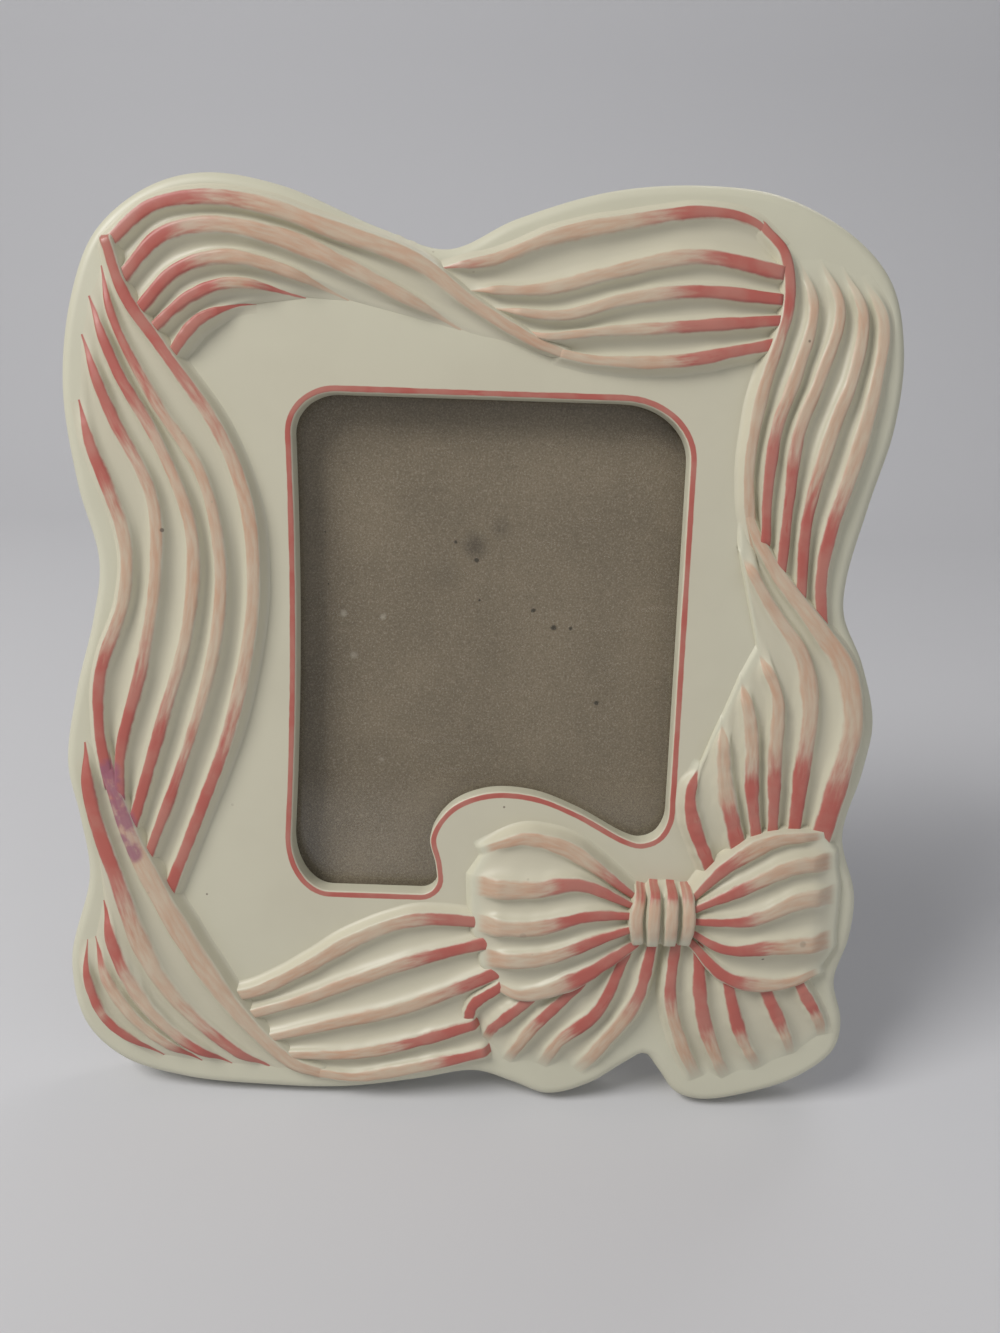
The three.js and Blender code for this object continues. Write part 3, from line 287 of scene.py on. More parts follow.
LEFT_LOOP = Band(lift=(2, 3.6, 2.6), crown=1.6, bare=(0.06, 0), fade=(5.5, 0), ribs=(
    Rib(((4.6, 58.6), (8.8, 60.7), (13.6, 62.1), (22.2, 60.3), (38.1, 49.4)), (1.6, 3.6, 1.4), (0, 0.24),
        (1.3, 3.4, 2.6)),
    Rib(((2.6, 50.8), (15.3, 51.4), (25, 53), (37.9, 47.9)), (4.4, 3.4, 1.4), (0, 0.55)),
    Rib(((3.1, 42.4), (16, 43), (27.2, 46.1), (37.8, 46.2)), (4, 3.2, 1.4), (0, 0.52)),
    Rib(((5, 34.3), (18.3, 36.1), (29.6, 40.6), (37.9, 43.6)), (3.8, 3, 1.4), (0, 0.44)),
    Rib(((7, 28.4), (13.9, 26.6), (24.4, 30.4), (38.1, 39.2)), (1.4, 4, 1.8), (0, 0.5)),
))
RIGHT_LOOP = Band(lift=(2, 3.6, 2.6), crown=1.6, bare=(0.06, 0), fade=(5.5, 0), ribs=(
    Rib(((77.2, 64.6), (65.9, 63.4), (56, 57), (49.9, 49.9)), (1.4, 3.6, 1.4), (0, 0.4)),
    Rib(((79.9, 59.1), (70.5, 58.3), (59.4, 52.8), (49.6, 47.7)), (3.8, 3, 1.4), (0, 0.42)),
    Rib(((81, 51.6), (73, 51.2), (61.9, 46.4), (49.5, 45.4)), (4.4, 3, 1.4), (0, 0.42)),
    Rib(((81.1, 41.4), (67.3, 40.3), (57.1, 39.5), (49.6, 42.9)), (4.4, 3, 1.4), (0, 0.54)),
    Rib(((78.8, 33.8), (69.6, 31.2), (58.3, 32.6), (49.9, 40.2)), (1.4, 3.4, 1.6), (0, 0.5)),
))
KNOT = Band(lift=(3.8, 5.6, 3.8), crown=0.8, bare=(0, 0.3), ribs=(
    Rib(((38.5, 50.1), (37.6, 45.8), (38.5, 39.9)), (2.4, 2.6, 2.4), (0.02, 0)),
    Rib(((41.5, 50.8), (41.2, 46.1), (41.5, 39.9)), (2.4, 2.6, 2.4), (0.06, 0)),
    Rib(((45.2, 50.8), (45, 46.1), (45.2, 40.1)), (2.4, 2.6, 2.4), (0.06, 0)),
    Rib(((48.6, 50.5), (48.8, 45.8), (48.4, 40.1)), (2.4, 2.6, 2.4), (0.02, 0)),
))
BANDS: tuple[Band, ...] = (
    TOP_RIGHT, TOP_LEFT, RIGHT_UPPER, LEFT, RIGHT_LOWER, BOTTOM, LOWER_LEFT, LEFT_TAIL, RIGHT_TAIL,
    LEFT_LOOP, RIGHT_LOOP, KNOT,
)


def distances(line: np.ndarray) -> np.ndarray:
    """Measures how far along a line each of its points lies."""
    return np.concatenate(([0.0], np.cumsum(np.linalg.norm(np.diff(line, axis=0), axis=1))))


def even_steps(line: np.ndarray, count: int, closed: bool) -> np.ndarray:
    """Walks a fine line in even steps.

    Args:
        line: Rows of x and y.
        count: How many points to return.
        closed: Whether the line ends where it starts, so that its last point is left out.

    Returns:
        Rows of x and y.
    """
    length = distances(line)
    at = np.linspace(0, length[-1], count, endpoint=not closed)
    return np.column_stack([np.interp(at, length, line[:, axis]) for axis in (0, 1)])


def smooth_line(points: np.ndarray, count: int, closed: bool = False) -> np.ndarray:
    """Follows a smooth curve through points in even steps.

    Args:
        points: Rows of x and y.
        count: How many points to return.
        closed: Whether the last point joins the first.

    Returns:
        Rows of x and y.
    """
    if closed:
        padded = np.vstack((points[-1:], points, points[:2]))
    else:
        padded = np.vstack((2 * points[0] - points[1], points, 2 * points[-1] - points[-2]))
    step = np.linspace(0, 1, CURVE_STEPS, endpoint=False)[:, None]
    runs = []
    for p0, p1, p2, p3 in zip(padded, padded[1:], padded[2:], padded[3:]):
        d0, d1, d2 = (math.sqrt(np.linalg.norm(b - a)) for a, b in ((p0, p1), (p1, p2), (p2, p3)))
        leave = d1 * ((p1 - p0) / d0 - (p2 - p0) / (d0 + d1) + (p2 - p1) / d1)
        arrive = d1 * ((p2 - p1) / d1 - (p3 - p1) / (d1 + d2) + (p3 - p2) / d2)
        run = p1 + leave * step + (3 * (p2 - p1) - 2 * leave - arrive) * step**2
        runs.append(run + (2 * (p1 - p2) + leave + arrive) * step**3)
    runs.append(padded[-2][None])
    return even_steps(np.vstack(runs), count, closed)


def on_sheet(points: Line) -> np.ndarray:
    """Scales points of the drawing sheet to the frame's size, as rows of x and y."""
    span = np.ptp(np.array(OUTLINE), axis=0)
    return np.array(points, float) * np.array((FRAME_WIDTH, FRAME_HEIGHT)) / span


def run_of(values: Triple, share: np.ndarray) -> np.ndarray:
    """Reads a value that is given at the start, the middle and the end of a run."""
    return np.interp(share, (0.0, 0.5, 1.0), values)


def swell_of(values: Triple, share: np.ndarray) -> np.ndarray:
    """Swells smoothly through heights at the start, the middle and the end of a run.

    Args:
        values: The three heights.
        share: Shares of the run.

    Returns:
        The height at each share.
    """
    start, middle, end = values
    rest = 1 - share
    return start * rest * (1 - 2 * share) + middle * 4 * share * rest + end * share * (2 * share - 1)


def ease(share: np.ndarray) -> np.ndarray:
    """Eases from 0 to 1 over shares from 0 to 1."""
    clipped = np.clip(share, 0, 1)
    return clipped * clipped * (3 - 2 * clipped)


def grown(run: np.ndarray, lengths: Pair) -> np.ndarray:
    """Eases from 0 at the ends of a run to 1 inside it.

    Args:
        run: Distances along the run.
        lengths: How far the easing takes at the start and at the end; 0 leaves that end at 1.

    Returns:
        Values between 0 and 1 along the run.
    """
    value = np.ones(len(run))
    for length, distance in zip(lengths, (run, run[-1] - run)):
        if length > 0:
            value = value * ease(distance / length)
    return value


def quarter_arc(centre: Pair, radii: Pair, quarter: int) -> np.ndarray:
    """Draws a quarter of an ellipse, anticlockwise.

    Args:
        centre: Its centre.
        radii: Its radii across and up.
        quarter: How many quarter turns from the right it starts at.

    Returns:
        Rows of x and y.
    """
    turn = quarter * QUARTER + np.linspace(0, QUARTER, CORNER_STEPS)
    return np.column_stack((centre[0] + radii[0] * np.cos(turn), centre[1] + radii[1] * np.sin(turn)))


def rounded(radius: float, count: int) -> list[Pair]:
    """Lists how far in from the side and how far below the face each ring of a rounded edge lies."""
    turns = np.linspace(0, QUARTER, count)
    return [(radius * (1 - math.cos(turn)), radius * (1 - math.sin(turn))) for turn in turns]


def offset_loop(loop: np.ndarray, distance: float) -> np.ndarray:
    """Moves an anticlockwise loop outwards.

    Args:
        loop: Rows of x and y.
        distance: How far out; negative moves it in.

    Returns:
        Rows of x and y.
    """
    tangent = np.roll(loop, -1, axis=0) - np.roll(loop, 1, axis=0)
    tangent /= np.linalg.norm(tangent, axis=1)[:, None]
    return loop + distance * np.column_stack((tangent[:, 1], -tangent[:, 0]))


def add_object(name: str, data: bpy.types.ID) -> bpy.types.Object:
    """Adds an object to the scene.

    Args:
        name: Its name.
        data: Its mesh, light or camera.

    Returns:
        The object, at the origin.
    """
    added = bpy.data.objects.new(name, data)
    bpy.context.scene.collection.objects.link(added)
    return added


def apply_modifiers(piece: bpy.types.Object) -> None:
    """Replaces a piece's mesh with what its modifiers make of it, and removes them.

    Args:
        piece: The piece.
    """
    bpy.context.view_layer.update()
    seen = piece.evaluated_get(bpy.context.evaluated_depsgraph_get())
    made = bpy.data.meshes.new_from_object(seen)
    piece.modifiers.clear()
    piece.data = made


def shade_smooth(mesh: bpy.types.Mesh) -> None:
    """Shades every face of a mesh smooth."""
    mesh.polygons.foreach_set("use_smooth", np.ones(len(mesh.polygons), bool))


@dataclass(frozen=True)
class Window:
    """The window in the casting, which a hump over the bow narrows, and the rebate behind it.

    Attributes:
        width, height: Its size.
        offset: How far its middle lies to the right of the casting's.
        sill: How high its sill lies.
        waist: How far its left side bows inwards.
        corners: Radii, across and up, of its upper right, upper left and lower left corners.
        hump: Width and height of the hump.
        hump_line: Points over the hump, as shares of that width and height.
        hump_corner: Radius of the corner between the sill and the hump.
        rebate: Width and height of the rebate.
        rebate_corner: Radius of the rebate's corners.
        steps, hump_steps, waist_steps: How many points draw the window's edge, the hump and the left side.
    """

    width: float = 81.4
    height: float = 106.0
    offset: float = 3.3
    sill: float = 47.7
    waist: float = 1.0
    corners: Line = ((14.0, 11.5), (9.0, 8.0), (8.4, 12.0))
    hump: Pair = (49.6, 23.6)
    hump_line: Line = (
        (-0.01, 0.3), (-0.035, 0.55), (0.05, 0.84), (0.21, 0.99), (0.41, 0.98), (0.61, 0.83), (0.82, 0.6),
        (0.885, 0.565), (0.955, 0.62), (0.995, 0.77), (1, 1),
    )
    hump_corner: float = 3.6
    rebate: Pair = (91.2, 129.0)
    rebate_corner: float = 3.0
    steps: int = 420
    hump_steps: int = 160
    waist_steps: int = 40

    def middle(self) -> Pair:
        """Gives the middle of the window and of the rebate."""
        return (self.offset, self.sill + self.height / 2)

    def loop(self) -> np.ndarray:
        """Draws the window's edge, anticlockwise from where its sill turns up to the hump.

        Returns:
            Rows of x and y in even steps.
        """
        left, right = self.offset - self.width / 2, self.offset + self.width / 2
        top = self.sill + self.height
        foot, bend = right - self.hump[0], self.hump_corner
        corner = quarter_arc((foot - bend, self.sill + bend), (bend, bend), -1)
        hump = np.array((foot, self.sill)) + np.array(self.hump_line) * np.array(self.hump)
        over = smooth_line(np.vstack((corner[-1:], hump)), self.hump_steps)
        (first_x, first_y), (next_x, next_y), (last_x, last_y) = self.corners
        upper_right = quarter_arc((right - first_x, top - first_y), self.corners[0], 0)
        upper_left = quarter_arc((left + next_x, top - next_y), self.corners[1], 1)
        lower_left = quarter_arc((left + last_x, self.sill + last_y), self.corners[2], 2)
        bow = np.linspace(0, 1, self.waist_steps)[1:-1, None]
        start, end = upper_left[-1], lower_left[0]
        waist = np.array((left + 2 * self.waist, (start[1] + end[1]) / 2))
        side = (1 - bow) ** 2 * start + 2 * bow * (1 - bow) * waist + bow**2 * end
        loop = np.vstack((corner, over[1:], upper_right, upper_left, side, lower_left, corner[:1]))
        return even_steps(loop, self.steps, True)

    def rebate_loop(self) -> np.ndarray:
        """Draws the rebate's edge.

        Returns:
            Rows of x and y.
        """
        bend = self.rebate_corner
        x, y = self.rebate[0] / 2 - bend, self.rebate[1] / 2 - bend
        across, up = self.middle()
        runs = []
        for quarter, (side, level) in enumerate(((1, 1), (-1, 1), (-1, -1), (1, -1))):
            runs.append(quarter_arc((across + side * x, up + level * y), (bend, bend), quarter))
        return np.vstack(runs)


@dataclass(frozen=True)
class Face:
    """The leaning face of the casting, which places drawn points in the row frame.

    Attributes:
        origin: Where the drawing's origin lies, in metres.
    """

    origin: Triple

    def place(self, points: np.ndarray) -> np.ndarray:
        """Turns drawn points into places in the row frame.

        Args:
            points: Rows of x, y and z in millimetres.

        Returns:
            Rows of X, Y and Z in metres.
        """
        x, y, z = points.T
        sine, cosine = math.sin(LEAN), math.cos(LEAN)
        turned = np.column_stack((x, y * sine - z * cosine, y * cosine + z * sine))
        return turned * MM + np.array(self.origin)

    def point(self, x: float, y: float, z: float = 0.0) -> Vector:
        """Gives the place of one drawn point in the row frame, in metres."""
        return Vector(self.place(np.array([[x, y, z]]))[0])

    @classmethod
    def from_glass(cls, window: Window) -> Face:
        """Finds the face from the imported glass, whose middle is known on the drawing.

        Args:
            window: The window that the glass fills.

        Returns:
            The face as it stands in the row frame.
        """
        low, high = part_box("window_glass")
        unmoved = cls((0.0, 0.0, 0.0)).point(*window.middle(), GLASS_MIDDLE)
        return cls(tuple((low + high) / 2 - unmoved))


@dataclass
class Patch:
    """A grid of points across and along a band, with what the paint needs at each of them.

    Attributes:
        points: Places on the drawing, as rows, columns and x, y, z.
        stripe: 0 at a rib's middle, 1 at its edge and more beyond.
        coral: 0 for pale peach paint and 1 for full coral.
        cover: 0 for bare casting and 1 for paint.
        along: Distance along the run in millimetres.
        across: Distance across the run in millimetres, apart for each rib.
        hollow: 0 on a rib or on the plate and 1 at the bottom of a flute.
    """

    points: np.ndarray
    stripe: np.ndarray
    coral: np.ndarray
    cover: np.ndarray
    along: np.ndarray
    across: np.ndarray
    hollow: np.ndarray


@dataclass(frozen=True)
class RibRun:
    """What a rib is like at each step along it.

    Attributes:
        middle: Its centre line, as rows of x and y.
        sideways: The way towards the rib before it, as rows of x and y.
        run: The distance along it.
        half: Half its width.
        relief: 0 where it lies sunk in the band and 1 where it stands out in full.
        low: The bottom of the flutes beside it.
        crest: The height of its edges.
    """

    middle: np.ndarray
    sideways: np.ndarray
    run: np.ndarray
    half: np.ndarray
    relief: np.ndarray
    low: np.ndarray
    crest: np.ndarray


@dataclass
class BandLoft:
    """Lofts one band of the ribbon from its ribs.

    Attributes:
        band: The band.
        seed: Varies the hand-made unevenness from band to band.
        step: Length of a step along the longest rib.
        fewest: The fewest steps.
        rise: Height of a rib's edges above its foot.
        level: The share of that height which an even rib has.
        dome: How far a rib's middle stands above its edges.
        rib_share: The share of the room between two ribs that half a rib may take.
        full_half: Half the width from which on a rib has its full relief.
        tip: The share of its width that a pointed rib starts with.
        flute: Depth of a flute below the feet of its ribs.
        flute_square: How squarely a flute is hollowed.
        margin: Width of the slope down the band's sides and ends.
        reach: The share of the margin at which the slope's foot lies.
        dip: How far that foot lies below the face.
        phases: How far the unevenness is shifted from band to band and from rib to rib.
        overtone: Strength, pace and shift of the second wave in the unevenness.
        width_waves, height_waves: How uneven a rib's width and height are, and in how many waves.
        coral_fade: The share of a rib's length over which coral turns to peach.
        rib_pitch: How far apart the brush marks of two ribs lie.
        side_growth, flute_growth: How fast the stripe value grows down a side and into a flute.
        rib_places, gap_places: Places across a rib and across a flute, from near to far.
        side_profile, end_profile: Shares of the margin and of the height, up the sides and the ends.
    """

    band: Band
    seed: int
    step: float = 0.75
    fewest: int = 12
    rise: float = 0.9
    level: float = 0.95
    dome: float = 0.12
    rib_share: float = 0.36
    full_half: float = 0.7
    tip: float = 0.12
    flute: float = 0.65
    flute_square: float = 3.0
    margin: float = 1.7
    reach: float = 1.35
    dip: float = 0.3
    phases: Pair = (2.4, 1.7)
    overtone: Triple = (0.4, 2.3, 2.1)
    width_waves: Pair = (0.07, 3.1)
    height_waves: Pair = (0.08, 4.3)
    coral_fade: float = 0.4
    rib_pitch: float = 12.0
    side_growth: float = 2.0
    flute_growth: float = 3.0
    rib_places: tuple[float, ...] = (1.0, 0.5, 0.0, -0.5, -1.0)
    gap_places: tuple[float, ...] = (0.07, 0.2, 0.35, 0.5, 0.65, 0.8, 0.93)
    side_profile: Line = (
        (1.0, -0.02), (0.86, 0.03), (0.7, 0.11), (0.54, 0.26), (0.38, 0.48), (0.22, 0.74), (0.1, 0.92),
    )
    end_profile: Line = ((0.95, 0.1), (0.8, 0.34), (0.58, 0.64), (0.3, 0.9))

    def __post_init__(self) -> None:
        """Draws the rib lines and works out what the ribs are like along them."""
        lines = [on_sheet(rib.line) for rib in self.band.ribs]
        self.count = max(self.fewest, round(max(distances(line)[-1] for line in lines) / self.step))
        self.share = np.linspace(0, 1, self.count)
        self.middles = [smooth_line(line, self.count) for line in lines]
        self.runs = [self.rib_run(index) for index in range(len(lines))]
        self.columns: list[Columns] = []

    def uneven(self, index: int, amount: float, waves: float) -> np.ndarray:
        """Makes a slow unevenness along a rib.

        Args:
            index: The rib.
            amount: How large it is.
            waves: How many waves it has over the run.

        Returns:
            Values between -amount and amount along the run.
        """
        strength, pace, shift = self.overtone
        phase = self.phases[0] * self.seed + self.phases[1] * index
        first = np.sin(2 * math.pi * waves * self.share + phase)
        second = np.sin(2 * math.pi * pace * waves * self.share + shift * phase)
        return amount * ((1 - strength) * first + strength * second)

    def rib_run(self, index: int) -> RibRun:
        """Works out a rib's directions and sizes along its run.

        Args:
            index: The rib.

        Returns:
            What it is like at each step.
        """
        rib, middle = self.band.ribs[index], self.middles[index]
        tangent = np.gradient(middle, axis=0)
        tangent /= np.linalg.norm(tangent, axis=1)[:, None]
        sideways = np.column_stack((-tangent[:, 1], tangent[:, 0]))
        near = [self.middles[k] for k in (index - 1, index + 1) if 0 <= k < len(self.middles)]
        side = np.sign(((near[0] - middle) * sideways).sum(axis=1))
        sideways = sideways * (side if index else -side)[:, None]
        room = np.min([np.linalg.norm(other - middle, axis=1) for other in near], axis=0)
        width = run_of(rib.width, self.share) * (1 + self.uneven(index, *self.width_waves))
        half = np.minimum(width / 2, room * self.rib_share)
        run = distances(middle)
        relief = np.ones(self.count)
        if not rib.whole:
            half = half * (self.tip + (1 - self.tip) * grown(run, self.band.point))
            relief = grown(run, self.band.fade)
        relief = relief * np.minimum(1.0, half / self.full_half)
        across = 2 * index / (len(self.middles) - 1) - 1
        foot = swell_of(rib.lift or self.band.lift, self.share) + self.band.crown * (1 - across**2) * relief
        crest = foot + self.rise * relief * (self.level + self.uneven(index, *self.height_waves))
        return RibRun(middle, sideways, run, half, relief, foot - self.flute * relief, crest)

    def column(self, index: int, offset: np.ndarray, height: np.ndarray, stripe: float) -> Columns:
        """Makes one line of points that runs along a rib.

        Args:
            index: The rib that it belongs to.
            offset: How far it lies to the rib's side.
            height: How high it lies.
            stripe: How far it lies from the rib's middle, where 1 is the rib's edge.

        Returns:
            Its points and paint values by name.
        """
        rib, run = self.band.ribs[index], self.runs[index]
        start = ease((rib.coral[0] - self.share) / self.coral_fade + 0.5) * (rib.coral[0] > 0)
        end = ease((self.share - 1 + rib.coral[1]) / self.coral_fade + 0.5) * (rib.coral[1] > 0)
        return {
            "points": np.column_stack((run.middle + run.sideways * offset[:, None], height)),
            "stripe": np.full(self.count, stripe),
            "coral": np.maximum(start, end),
            "cover": grown(self.share, (0.0, 0.0) if rib.whole else self.band.bare),
            "along": run.run,
            "across": offset + index * self.rib_pitch,
            "hollow": np.zeros(self.count),
        }

    def add_rib(self, index: int) -> None:
        """Adds the columns over one rib, from its near edge to its far one.

        Args:
            index: The rib.
        """
        run = self.runs[index]
        for place in self.rib_places:
            height = run.crest + self.dome * (1 - place**2) * run.relief
            self.columns.append(self.column(index, place * run.half, height, abs(place)))

    def add_side(self, index: int, side: int) -> None:
        """Adds the columns down the outer side of the first or the last rib.

        Args:
            index: The rib.
            side: 1 for the first rib's side and -1 for the last one's.
        """
        run = self.runs[index]
        slope = [(self.reach, np.full(self.count, -self.dip))]
        slope += [(out, np.minimum(run.crest * up, run.crest)) for out, up in self.side_profile]
        for out, height in slope[::side]:
            offset = side * (run.half + out * self.margin)
            self.columns.append(self.column(index, offset, height, 1 + self.side_growth * out))

    def add_flute(self, index: int) -> None:
        """Adds the hollow between a rib's far edge and the next rib's near one.

        Args:
            index: The rib before the flute.
        """
        near, far = self.runs[index], self.runs[index + 1]
        before = self.columns[-1]
        after = self.column(index + 1, far.half, far.crest, 1.0)
        for share in self.gap_places:
            mixed = {name: before[name] * (1 - share) + after[name] * share for name in before}
            hollow = 1 - abs(2 * share - 1) ** self.flute_square
            bottom = near.low * (1 - share) + far.low * share
            mixed["points"][:, 2] += (bottom - mixed["points"][:, 2]) * hollow
            mixed["stripe"] = np.full(self.count, 1 + self.flute_growth * min(share, 1 - share))
            mixed["hollow"] = hollow * (near.relief * (1 - share) + far.relief * share)
            self.columns.append(mixed)

    def end_rows(self, row: np.ndarray, inner: np.ndarray) -> np.ndarray:
        """Rounds one end of the band.

        Args:
            row: The end row's points.
            inner: The row before it.

        Returns:
            Rows from the foot up to the end row.
        """
        flat, height = row[:, :2], row[:, 2]
        outward = flat - inner[:, :2]
        outward /= np.maximum(np.linalg.norm(outward, axis=1), LEAST_LENGTH)[:, None]
        slope = [(self.reach, np.minimum(height, -self.dip))]
        slope += [(out, np.minimum(height * up, height)) for out, up in self.end_profile]
        rows = [np.column_stack((flat + outward * out * self.margin, level)) for out, level in slope]
        return np.array(rows)

    def patch(self) -> Patch:
        """Lofts the band and runs both its ends down into the face.

        Returns:
            The band's grid.
        """
        last = len(self.runs) - 1
        self.add_side(0, 1)
        self.add_rib(0)
        for index in range(last):
            self.add_flute(index)
            self.add_rib(index + 1)
        self.add_side(last, -1)
        grid = {name: np.stack([column[name] for column in self.columns], axis=1) for name in self.columns[0]}
        points = grid.pop("points")
        heads = self.end_rows(points[0], points[1])
        feet = self.end_rows(points[-1], points[-2])
        for name, values in grid.items():
            first = np.repeat(values[:1], len(heads), axis=0)
            final = np.repeat(values[-1:], len(feet), axis=0)
            grid[name] = np.concatenate((first, values, final))
        return Patch(points=np.concatenate((heads, points, feet[::-1])), **grid)


class CastingMesh:
    """Gathers the points, faces and paint values of the cast front.

    Attributes:
        unpainted: The paint values of points that have none of their own.
    """

    unpainted: dict[str, float] = {
        "stripe": 9.0, "coral": 0.0, "cover": 0.0, "along": 0.0, "across": 0.0, "hollow": 0.0,
    }

    def __init__(self) -> None:
        """Starts with nothing."""
        self.points: list[np.ndarray] = []
        self.faces: list[tuple[int, ...]] = []
        self.paint: dict[str, list[np.ndarray]] = {name: [] for name in self.unpainted}
        self.total = 0

    def add_points(self, points: np.ndarray, **paint: np.ndarray | float) -> np.ndarray:
        """Adds points.

        Args:
            points: Rows of x, y and z.
            **paint: The paint values of these points, where they have any.

        Returns:
            The numbers of the new points.
        """
        count = len(points)
        self.points.append(points)
        for name, none in self.unpainted.items():
            self.paint[name].append(np.broadcast_to(np.asarray(paint.get(name, none), float), (count,)))
        self.total += count
        return np.arange(self.total - count, self.total)

    def add_ring(self, loop: np.ndarray, height: float, **paint: np.ndarray | float) -> np.ndarray:
        """Adds a closed loop of points at one height, and gives their numbers."""
        return self.add_points(np.column_stack((loop, np.full(len(loop), height))), **paint)

    def join_rings(self, rings: list[np.ndarray]) -> None:
        """Joins rings of equal count with quads, one after the other.

        Args:
            rings: The numbers of each ring's points.
        """
        for lower, upper in zip(rings, rings[1:]):
            quads = np.column_stack((lower, np.roll(lower, -1), np.roll(upper, -1), upper))
            self.faces.extend(map(tuple, quads.tolist()))

    def fill(self, outer: np.ndarray, inner: np.ndarray) -> None:
        """Fills the flat space between two loops.

        Args:
            outer: The numbers of the outer loop's points.
            inner: The numbers of the inner loop's points.
        """
        points = np.vstack(self.points)
        numbers = np.concatenate((outer, inner))
        loops = [[Vector((*points[n, :2], 0.0)) for n in loop] for loop in (outer, inner)]
        for triangle in tessellate_polygon(loops):
            self.faces.append(tuple(int(numbers[corner]) for corner in triangle))

    def add_patch(self, patch: Patch) -> None:
        """Adds a band's grid with its faces turned outwards.

        Args:
            patch: The grid.
        """
        rows, columns = patch.stripe.shape
        paint = {name: getattr(patch, name).ravel() for name in self.unpainted}
        numbers = self.add_points(patch.points.reshape(-1, 3), **paint).reshape(rows, columns)
        quads = np.stack((numbers[:-1, :-1], numbers[:-1, 1:], numbers[1:, 1:], numbers[1:, :-1]), axis=-1)
        flat = patch.points[:, :, :2]
        along, over = np.diff(flat, axis=0)[:, :-1], np.diff(flat, axis=1)[:-1]
        turn = (over[..., 0] * along[..., 1] - over[..., 1] * along[..., 0]).sum()
        if turn < 0:
            quads = quads[..., ::-1]
        self.faces.extend(map(tuple, quads.reshape(-1, 4).tolist()))

    def build(self, name: str, face: Face) -> bpy.types.Mesh:
        """Makes the mesh.

        Args:
            name: Its name.
            face: Where it stands.

        Returns:
            The mesh with its paint values as attributes.
        """
        places = face.place(np.vstack(self.points))
        places[:, 2] = np.maximum(places[:, 2], 0.0)
        mesh = bpy.data.meshes.new(name)
        mesh.from_pydata(places.tolist(), [], self.faces)
        for label, chunks in self.paint.items():
            attribute = mesh.attributes.new(label, "FLOAT", "POINT")
            attribute.data.foreach_set("value", np.concatenate(chunks).astype(np.float32))
        shade_smooth(mesh)
        mesh.update()
        return mesh


